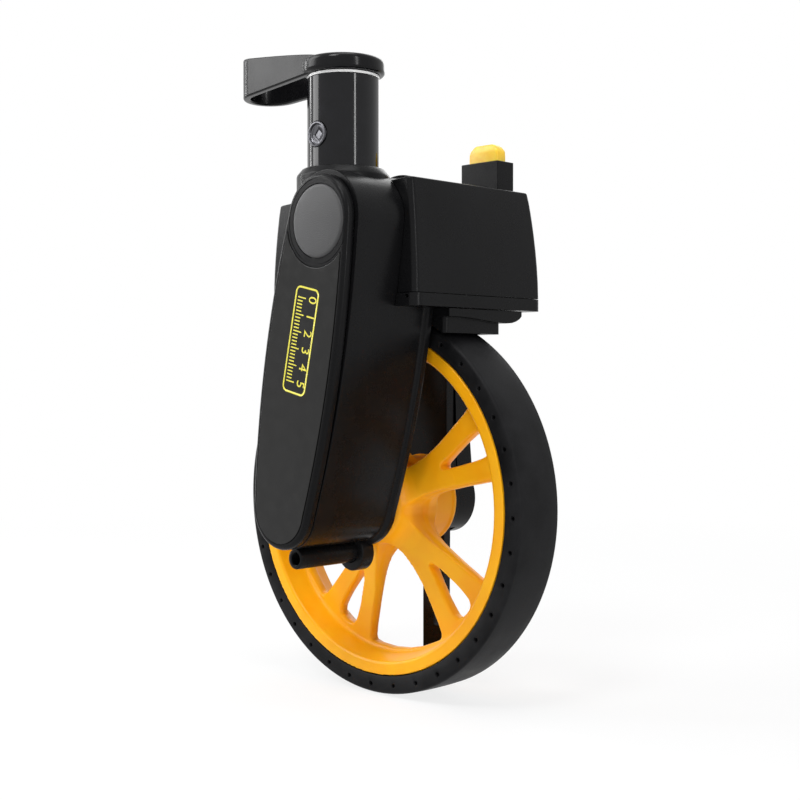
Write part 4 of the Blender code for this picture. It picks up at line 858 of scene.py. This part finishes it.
def buildBox():
    s, b = boxSizes, baseSizes
    housing = blackPiece("counter_box", boxSolid(0, 0), "counter_housing")
    hollow = boxSolid(s["wall"], 3)
    # a hair lower, so that none of its faces lies in a face of the box
    bmesh.ops.translate(hollow, vec=(0, 0, -0.05), verts=hollow.verts)
    carve(housing, hollow, *caseRoom(s["bottom"] - 4))
    lensLow, lensHigh = boxOf("counter_window")
    window = roundedBox(lensLow.x - 0.3, lensHigh.x + 0.3, lensLow.y - 0.3, lensHigh.y + 0.3, 1.8, 8)
    carve(housing, slab(window, s["bottom"] + 6, 140, "Z"))
    x, y, _ = middleOf("reset_button")
    middle = (x, y, 0)
    carve(housing, drum(s["pinHole"], 100, 140, "Z", middle, 32))
    roundEdges(housing, s["edgeRound"], 3, 40)
    proud, top = b["proud"], s["bottom"] - b["gap"]
    low = top - b["thick"]
    outline = roundedBox(s["rear"] - proud, s["front"] + proud, s["near"] - proud, s["far"] + proud,
                         b["corner"], 10)
    base = blackPiece("box_base", slab(outline, low, top, "Z"), "housing_base")
    carve(base, *caseRoom(s["bottom"] - 9))
    weld(base, drum(b["post"], s["bottom"] - 2, boxOf("reset_spring")[0].z - 0.3, "Z", middle, 48))
    x, z = b["nearPit"]
    pits = [drum(b["nearPitRadius"], -40, s["near"] + b["pitDepth"], "Y", (x, 0, z), 20)]
    pits += [drum(b["farPitRadius"], 30, s["far"] + 3, "Y", (x, 0, z), 20) for x, z in b["farPits"]]
    carve(base, join(*pits))
    roundEdges(base, b["edge"], 4, 50)
    for number, (x, y) in enumerate(b["screws"], 1):
        head = [(0, low - 0.35), (1.2, low - 0.35), (1.9, low - 0.1), (2.0, low + 0.3), (0, low + 0.3)]
        screw = makePiece("base_screw_" + str(number), lathe(head, "Z", (x, y, 0), 32), darkSteel, "frame")
        carve(screw, slab(roundedBox(x - 1.1, x + 1.1, y - 0.2, y + 0.2, 0.1, 2), low - 1, low + 0.1, "Z"),
              slab(roundedBox(x - 0.2, x + 0.2, y - 1.1, y + 1.1, 0.1, 2), low - 1, low + 0.12, "Z"))


buttonSizes = {"grow": 0.7, "growFar": 1.2, "collarTop": 142.4, "wall": 1.9, "gap": 0.35, "stem": 135,
               "cap": ((133.6, 0), (144.8, 0), (146.6, 0.08), (147.3, 0.3), (148.3, 1.0), (149.2, 1.9),
                       (149.75, 2.6), (150.0, 3.3))}


def buildButton():
    s = buttonSizes
    wall, inside = s["wall"], s["wall"] + s["gap"]
    low, high = boxOf("button_collar")
    low.x, high.x = low.x - s["grow"], high.x + s["grow"]
    high.y, high.z = high.y + s["growFar"], s["collarTop"]
    block = slab([(low.x, boxTop(low.x) + 0.05), (high.x, boxTop(high.x) + 0.05), (high.x, high.z),
                  (low.x, high.z)], low.y, high.y)
    collar = blackPiece("collar_block", block, "button_collar")
    well = roundedBox(low.x + wall, high.x - wall, low.y + wall, high.y - wall, 0.9, 5)
    carve(collar, slab(well, 120, 148, "Z"))
    roundEdges(collar, 0.4, 3, 40)
    xLow, xHigh, yLow, yHigh = low.x + inside, high.x - inside, low.y + inside, high.y - inside
    rings = []
    for z, inset in s["cap"]:
        rings.append([(x, y, z) for x, y in roundedBox(xLow + inset, xHigh - inset, yLow + inset * 0.25,
                                                       yHigh - inset * 0.25, 0.8, 5)])
    button = makePiece("button_cap", grid(rings), yellow, "button", ["reset_button"], 50)
    x, y, _ = middleOf("reset_button")
    clip = boxOf("reset_spring")[1].z + 0.3
    stem = [(0, clip), (3.0, clip), (3.2, clip + 0.3), (3.2, clip + 1.2), (3.0, clip + 1.4),
            (1.8, clip + 1.4), (1.8, s["stem"]), (0, s["stem"])]
    weld(button, lathe(stem, "Z", (x, y, 0), 48))


bracketSizes = {"rear": 20.0, "front": 46.0, "near": -14.7, "far": 29.5, "depth": 5.2, "skirtFront": 43.5,
                "skirtFar": 19.0, "skirtLow": 69.7, "tread": 81.2}
bracketEdge = ((0, 0.62), (0.15, 0.63), (0.3, 0.68), (0.45, 0.78), (0.6, 0.9), (0.7, 0.98), (0.78, 1.0),
               (0.86, 0.95), (0.92, 0.82), (0.97, 0.62), (1, 0.4))


def buildBracket():
    s = bracketSizes
    top = boxOf("fender")[1].z
    band = [(s["far"], top), (s["near"], top)]
    band += [(s["near"] + (s["far"] - s["near"]) * a, top - s["depth"] * b) for a, b in bracketEdge]
    bracket = blackPiece("fender_bracket", slab(band, s["rear"], s["front"], "X"), "fender")
    weld(bracket, slab(roundedBox(s["rear"] + 0.3, s["skirtFront"], s["near"] + 0.3, s["skirtFar"], 2.0, 6),
                       s["skirtLow"], top - 1, "Z"))
    carve(bracket, drum(s["tread"], s["near"] - 2, 13.6, "Y", (0, 0, 0), 180))
    roundEdges(bracket, 0.5, 3, 40)


# Handle: outer tube, its screw, the tubes inside and the loop

handleSizes = {"wall": 1.4, "screwHole": 5.2, "drive": 2.3, "driveDepth": 1.7, "ringWall": 1.2,
               "ringIn": 0.1, "ringSeat": 0.06, "ringTop": 1.15, "pinHole": 2.5, "middleWall": 0.8,
               "middleGap": 0.3, "middleFoot": 3.0, "innerWall": 1.2}


def buildOuterTube():
    s = handleSizes
    low, high = boxOf("outer_tube")
    x, y, _ = middleOf("outer_tube")
    radius = (high.x - low.x) / 2
    inside = radius - s["wall"]
    tube = lathe([(inside, low.z), (radius, low.z), (radius, high.z - 0.3), (radius - 0.3, high.z),
                  (inside + 0.3, high.z), (inside, high.z - 0.3)], "Z", (x, y, 0), 128)
    outer = makePiece("outer_tube_drawn", tube, tubeBlack, "frame", ["outer_tube"], 40)
    screwLow, screwHigh = boxOf("tube_screw")
    axisX, _, axisZ = middleOf("tube_screw")
    axis, near, far = (axisX, 0, axisZ), screwLow.y, screwHigh.y
    carve(outer, drum(s["screwHole"], near - 2, y - 6, "Y", axis, 64))
    outer.data.set_sharp_from_angle(angle=math.radians(35))
    head = lathe([(0, near + 1.3), (3.5, near + 1.3), (3.9, near + 1.0), (4.05, near + 0.25), (4.3, near),
                  (4.65, near + 0.05), (4.9, near + 0.35), (4.9, near + 1.5), (4.9, near + 1.8),
                  (2.2, near + 1.85), (2.2, far), (0, far)], "Y", axis, 64)
    screw = makePiece("tube_screw_head", head, darkSteel, "frame", ["tube_screw"], 35)
    diamond = arcPoints((axisX, axisZ), s["drive"], 0, tau * 3 / 4, 3)
    carve(screw, slab(diamond, near - 1, near + s["driveDepth"]))


def buildInnerTubes():
    s = handleSizes
    outerLow, outerHigh = boxOf("outer_tube")
    x, y, _ = middleOf("outer_tube")
    centre = (x, y, 0)
    low, high = boxOf("guide_sleeve")
    outside, lip = (high.x - low.x) / 2, (outerHigh.x - outerLow.x) / 2 - s["ringIn"]
    inside, seat, top = outside - s["ringWall"], high.z + s["ringSeat"], high.z + s["ringTop"]
    ring = [(inside, low.z), (outside, low.z), (outside, seat), (lip, seat), (lip, high.z + 1.0),
            (lip - 0.2, top), (inside + 0.2, top), (inside, high.z + 0.95)]
    # the guide ring wears the pale plastic lightened as painted light, in place of the shade it gets under the
    # collar
    guide = makePiece("guide_ring", lathe(ring, "Z", centre, 96), paleGuideWithPaintedLight, "frame",
                      ["guide_sleeve"], 40)
    axisX, _, axisZ = middleOf("tube_screw")
    carve(guide, drum(s["pinHole"], boxOf("tube_screw")[0].y - 2, y, "Y", (axisX, 0, axisZ), 32))
    slim = high.x - s["ringWall"] - s["middleGap"] - x
    low, high = boxOf("middle_tube")
    outside, inside, foot = (high.x - low.x) / 2, slim - s["middleWall"], low.z + s["middleFoot"]
    middle = [(inside, low.z), (outside, low.z), (outside, foot), (slim, foot + 0.4), (slim, high.z - 0.2),
              (slim - 0.2, high.z), (inside + 0.2, high.z), (inside, high.z - 0.2)]
    makePiece("middle_tube_drawn", lathe(middle, "Z", centre, 96), brightTube, "middle_section",
              ["middle_tube"], 40)
    low, high = boxOf("inner_tube")
    outside = (high.x - low.x) / 2
    inside = outside - s["innerWall"]
    inner = [(inside, low.z), (outside, low.z), (outside, high.z - 0.2), (outside - 0.2, high.z),
             (inside + 0.2, high.z), (inside, high.z - 0.2)]
    makePiece("inner_tube_drawn", lathe(inner, "Z", centre, 96), brightTube, "top_section",
              ["inner_tube"], 40)


loopSizes = {"collar": 16.4, "collarHeight": 6.2, "collarLift": 1.3, "endX": -44.5, "endRadius": 12.2,
             "rootHalf": 14.6, "band": 3.1, "endLow": 167.2, "endTop": 184.7, "rootTop": 177.0, "rise": 0.8,
             "edge": 0.75}


def loopRoute(offset, steps=40, runs=24):
    # one half runs back from the collar, round the end and forward again
    s = loopSizes
    x, y, _ = middleOf("outer_tube")
    endX = s["endX"] + s["endRadius"]
    root, end = s["rootHalf"] - offset, s["endRadius"] - offset
    near, far = [], []
    for step in range(runs):
        share = step / runs
        near.append((x + (endX - x) * share, y - root - (end - root) * share))
        far.append((endX - (endX - x) * (share + 1 / runs), y + end + (root - end) * (share + 1 / runs)))
    return near + arcPoints((endX, y), end, tau * 3 / 4, tau / 4, steps) + far


def buildLoop():
    s = loopSizes
    x, y, _ = middleOf("outer_tube")
    bottom = boxOf("outer_tube")[1].z + s["collarLift"]
    top = bottom + s["collarHeight"]
    rings = []
    middle = loopRoute(s["band"] / 2)
    for index, (px, py) in enumerate(middle):
        before, after = middle[max(index - 1, 0)], middle[min(index + 1, len(middle) - 1)]
        along = Vector((after[0] - before[0], after[1] - before[1])).normalized()
        outward = Vector((along.y, -along.x))
        share = min(1.0, max(0.0, (x - px) / (x - s["endX"])))
        lowZ = bottom + (s["endLow"] - bottom) * share
        highZ = s["rootTop"] + (s["endTop"] - s["rootTop"]) * share ** s["rise"]
        section = roundedBox(-s["band"] / 2, s["band"] / 2, lowZ, highZ, s["edge"], 4)
        rings.append([(px + outward.x * a, py + outward.y * a, z) for a, z in section])
    edge = s["collar"]
    collar = [(0, bottom), (edge - 1.6, bottom), (edge - 0.7, bottom + 0.2), (edge - 0.15, bottom + 0.8),
              (edge, bottom + 1.6), (edge, top - 2.2), (edge - 0.2, top - 1.2), (edge - 0.8, top - 0.4),
              (edge - 1.8, top), (0, top)]
    grip = makePiece("loop_handle", lathe(collar, "Z", (x, y, 0), 128), gripBlack, "top_section",
                     ["loop_grip"])
    weld(grip, grid(rings))
    innerLow, innerHigh = boxOf("inner_tube")
    bore = (innerHigh.x - innerLow.x) / 2 + 0.3
    carve(grip, drum(bore, bottom - 5, innerHigh.z + 0.3, "Z", (x, y, 0), 96))
    evenShading(grip, 40)


# Far side: arm plate, its cover, the leg and its foot

armSizes = {"rear": -13.0, "front": 12.5, "waist": 30.0, "endRadius": 16.0, "axleHole": 3.3,
            "plateEdge": 0.5, "coverInset": 0.4, "coverWall": 2.2, "coverEdge": 0.9, "swingDepth": 4.8,
            "swingReach": 32}
legSizes = {"half": 6.25, "eye": 8.0, "eyeHole": 3.4, "waist": -28, "low": -73.5, "slot": (0, 3, -56, -30),
            "edge": 0.5}
footSizes = {"corner": 1.8, "socket": (6.55, -73.8), "treads": (26.2, 29.2, 32.2), "treadHalf": 0.4,
             "treadDepth": 0.45, "edge": 0.5}
nutSizes = {"across": 5.2, "bore": 3.3, "edge": 0.35}


def axleHole(radius, far=40):
    return drum(radius, 10, far, "Y", (0, 0, 0), 48)


def armOutline(inset):
    s = armSizes
    rear, front, radius = s["rear"] + inset, s["front"] - inset, s["endRadius"] - inset
    turn = math.asin(max(-1.0, min(1.0, rear / radius)))
    bottom = arcPoints((0, 0), radius, -tau / 4 + turn - math.radians(20), math.radians(24), 40)
    top = boxOf("far_arm_plate")[1].z - inset
    return [*bottom, (front, s["waist"]), (front, top), (rear, top), (rear, s["waist"])]


def buildFarArm():
    s = armSizes
    low, high = boxOf("far_arm_plate")
    plate = blackPiece("arm_plate_pressed", slab(armOutline(0), low.y, high.y), "far_arm_plate")
    carve(plate, axleHole(s["axleHole"]))
    roundEdges(plate, s["plateEdge"], 3, 35)
    low, high = boxOf("far_arm_cover")
    cover = blackPiece("arm_cover_shell", slab(armOutline(s["coverInset"]), low.y, high.y), "far_arm_cover")
    carve(cover, slab(armOutline(s["coverInset"] + s["coverWall"]), low.y - 2, high.y - s["coverWall"]))
    # the leg swings through a fan cut out of the cover's wall
    spread = math.asin(legSizes["half"] / s["endRadius"]) + math.radians(6)
    fan = arcPoints((0, 0), s["swingReach"], -tau / 2 - spread, -tau / 4 + math.radians(5) + spread, 24)
    carve(cover, slab([(0, 0), *fan], low.y - 2, low.y + s["swingDepth"]))
    roundEdges(cover, s["coverEdge"], 4, 35)


def buildLeg():
    s, f, n = legSizes, footSizes, nutSizes
    low, high = boxOf("kickstand_leg")
    half = s["half"]
    outline = [*arcPoints((0, 0), s["eye"], math.radians(-35), math.radians(215), 40), (-half, s["waist"]),
               (-half, s["low"]), (half, s["low"]), (half, s["waist"])]
    leg = makePiece("stand_leg", slab(outline, low.y, high.y), legBlack, "kickstand",
                    ["kickstand_leg"])
    carve(leg, axleHole(s["eyeHole"]), slab(roundedBox(*s["slot"], 1.49, 8), low.y - 2, high.y + 2))
    roundEdges(leg, s["edge"], 3, 35)
    footLow, footHigh = boxOf("kickstand_foot")
    outline = roundedBox(footLow.x, footHigh.x, footLow.z, footHigh.z, f["corner"], 6)
    foot = makePiece("stand_foot", slab(outline, footLow.y, footHigh.y), footRubber, "kickstand",
                     ["kickstand_foot"])
    reach, floorZ = f["socket"]
    socket = [(-reach, floorZ), (reach, floorZ), (reach, -60), (-reach, -60)]
    carve(foot, slab(socket, low.y - 0.3, high.y + 0.3))
    left, right, under, over = footLow.x - 1, footHigh.x + 1, footLow.z - 1, footLow.z + f["treadDepth"]
    tread = [(left, under), (right, under), (right, over), (left, over)]
    carve(foot, join(*[slab(tread, y - f["treadHalf"], y + f["treadHalf"]) for y in f["treads"]]))
    roundEdges(foot, f["edge"], 3, 40)
    nutLow, nutHigh = boxOf("axle_nut")
    nut = makePiece("axle_nut_turned", drum(n["across"], nutLow.y, nutHigh.y, "Y", (0, 0, 0), 6), zincSteel,
                    "frame", ["axle_nut"])
    carve(nut, axleHole(n["bore"], 50))
    roundEdges(nut, n["edge"], 2, 40)


# Printing: a plain yellow frame with ruler marks and numbers on the label, and the drums' figures

labelSizes = {"centre": (12.2, 66.2), "lean": 12.6, "length": 41.5, "width": 13.4, "corner": 2.6,
              "line": 0.75, "rise": 0.07, "sink": 0.005, "numbers": 6, "digit": 6.2, "digitRoom": 3.4,
              "endRoom": 4.4, "marks": 5, "markStart": 1.7, "longMark": 4.6, "shortMark": 2.9,
              "markHalf": 0.24}


def labelFace():
    return coverSizes["near"] - coverSizes["panelProud"]


def labelPoint(across, up):
    # a place drawn about the label's middle, turned to lean as the label does
    s = labelSizes
    lean = math.radians(s["lean"])
    return (s["centre"][0] + across * math.cos(lean) + up * math.sin(lean),
            s["centre"][1] - across * math.sin(lean) + up * math.cos(lean))


def onLabel(points):
    # turns a flat outline into a raised print on the panel
    face = labelFace()
    return slab([labelPoint(a, b) for a, b in points], face - labelSizes["rise"], face - labelSizes["sink"])


def buildLabel():
    s = labelSizes
    halfA, halfB, line = s["width"] / 2, s["length"] / 2, s["line"]
    border = makePiece("label_border", onLabel(roundedBox(-halfA, halfA, -halfB, halfB, s["corner"], 8)),
                       yellowInk, "frame")
    inner = roundedBox(-halfA + line, halfA - line, -halfB + line, halfB - line, s["corner"] - line, 8)
    carve(border, slab([labelPoint(a, b) for a, b in inner], labelFace() - 3, labelFace() + 3))
    marks = []
    count = (s["numbers"] - 1) * s["marks"] + 1
    pitch = (s["length"] - 2 * s["endRoom"]) / (count - 1)
    start, half = -halfA + s["markStart"], s["markHalf"]
    for number in range(count):
        b = halfB - s["endRoom"] - pitch * number
        end = start + (s["shortMark"] if number % s["marks"] else s["longMark"])
        marks.append(onLabel([(start, b - half), (end, b - half), (end, b + half), (start, b + half)]))
    makePiece("label_marks", join(*marks), yellowInk, "frame")


def textShape(text, size):
    # the outline of some figures as a flat mesh, in millimetres, centred
    curve = bpy.data.curves.new("figures", "FONT")
    curve.body = text
    curve.size = size
    curve.align_x = "CENTER"
    curve.align_y = "CENTER"
    curve.resolution_u = 3
    curve.extrude = 0.04
    holder = bpy.data.objects.new("figures", curve)
    bpy.context.scene.collection.objects.link(holder)
    view = bpy.context.evaluated_depsgraph_get()
    mesh = bpy.data.meshes.new_from_object(holder.evaluated_get(view))
    shape = bmesh.new()
    shape.from_mesh(mesh)
    bmesh.ops.remove_doubles(shape, verts=shape.verts, dist=1e-5)
    bpy.data.objects.remove(holder)
    bpy.data.curves.remove(curve)
    bpy.data.meshes.remove(mesh)
    return shape


def buildLabelFigures():
    # the numbers are turned a quarter clockwise, so that they read down the label
    s = labelSizes
    pitch = (s["length"] - 2 * s["endRoom"]) / (s["numbers"] - 1)
    shapes = []
    for number in range(s["numbers"]):
        shape = textShape(str(number), s["digit"])
        b = s["length"] / 2 - s["endRoom"] - pitch * number
        for vertex in shape.verts:
            x, z = labelPoint(s["width"] / 2 - s["digitRoom"] + vertex.co.y, b - vertex.co.x)
            vertex.co = (x, labelFace() - 0.045 - vertex.co.z * 0.7, z)
        shapes.append(shape)
    whole = join(*shapes)
    bmesh.ops.recalc_face_normals(whole, faces=whole.faces)
    makePiece("label_figures", whole, yellowInk, "frame")


def buildDrumFigures():
    for number, body in enumerate(("counter_drive", "drum_2", "drum_3", "drum_4", "drum_5"), 1):
        low, high = boxOf("number_drum_" + str(number))
        x, y, z = middleOf("number_drum_" + str(number))
        radius = (high.x - low.x) / 2
        shapes = []
        for figure in range(10):
            shape = textShape(str(figure), 6.4)
            turn = tau / 4 + tau * figure / 10
            for vertex in shape.verts:
                bend = turn - vertex.co.y / radius
                lift = radius + vertex.co.z
                vertex.co = (x + lift * math.cos(bend), y + vertex.co.x * 0.9, z + lift * math.sin(bend))
            shapes.append(shape)
        whole = join(*shapes)
        bmesh.ops.recalc_face_normals(whole, faces=whole.faces)
        makePiece("drum_figures_" + str(number), whole, blackInk, body)


for build in (buildWheel, buildTyre, buildGearCase, buildCover, buildSleevePin, buildBox, buildButton,
              buildBracket, buildOuterTube, buildInnerTubes, buildLoop, buildFarArm, buildLeg, buildLabel,
              buildLabelFigures, buildDrumFigures):
    build()
    print(build.__name__, "done")
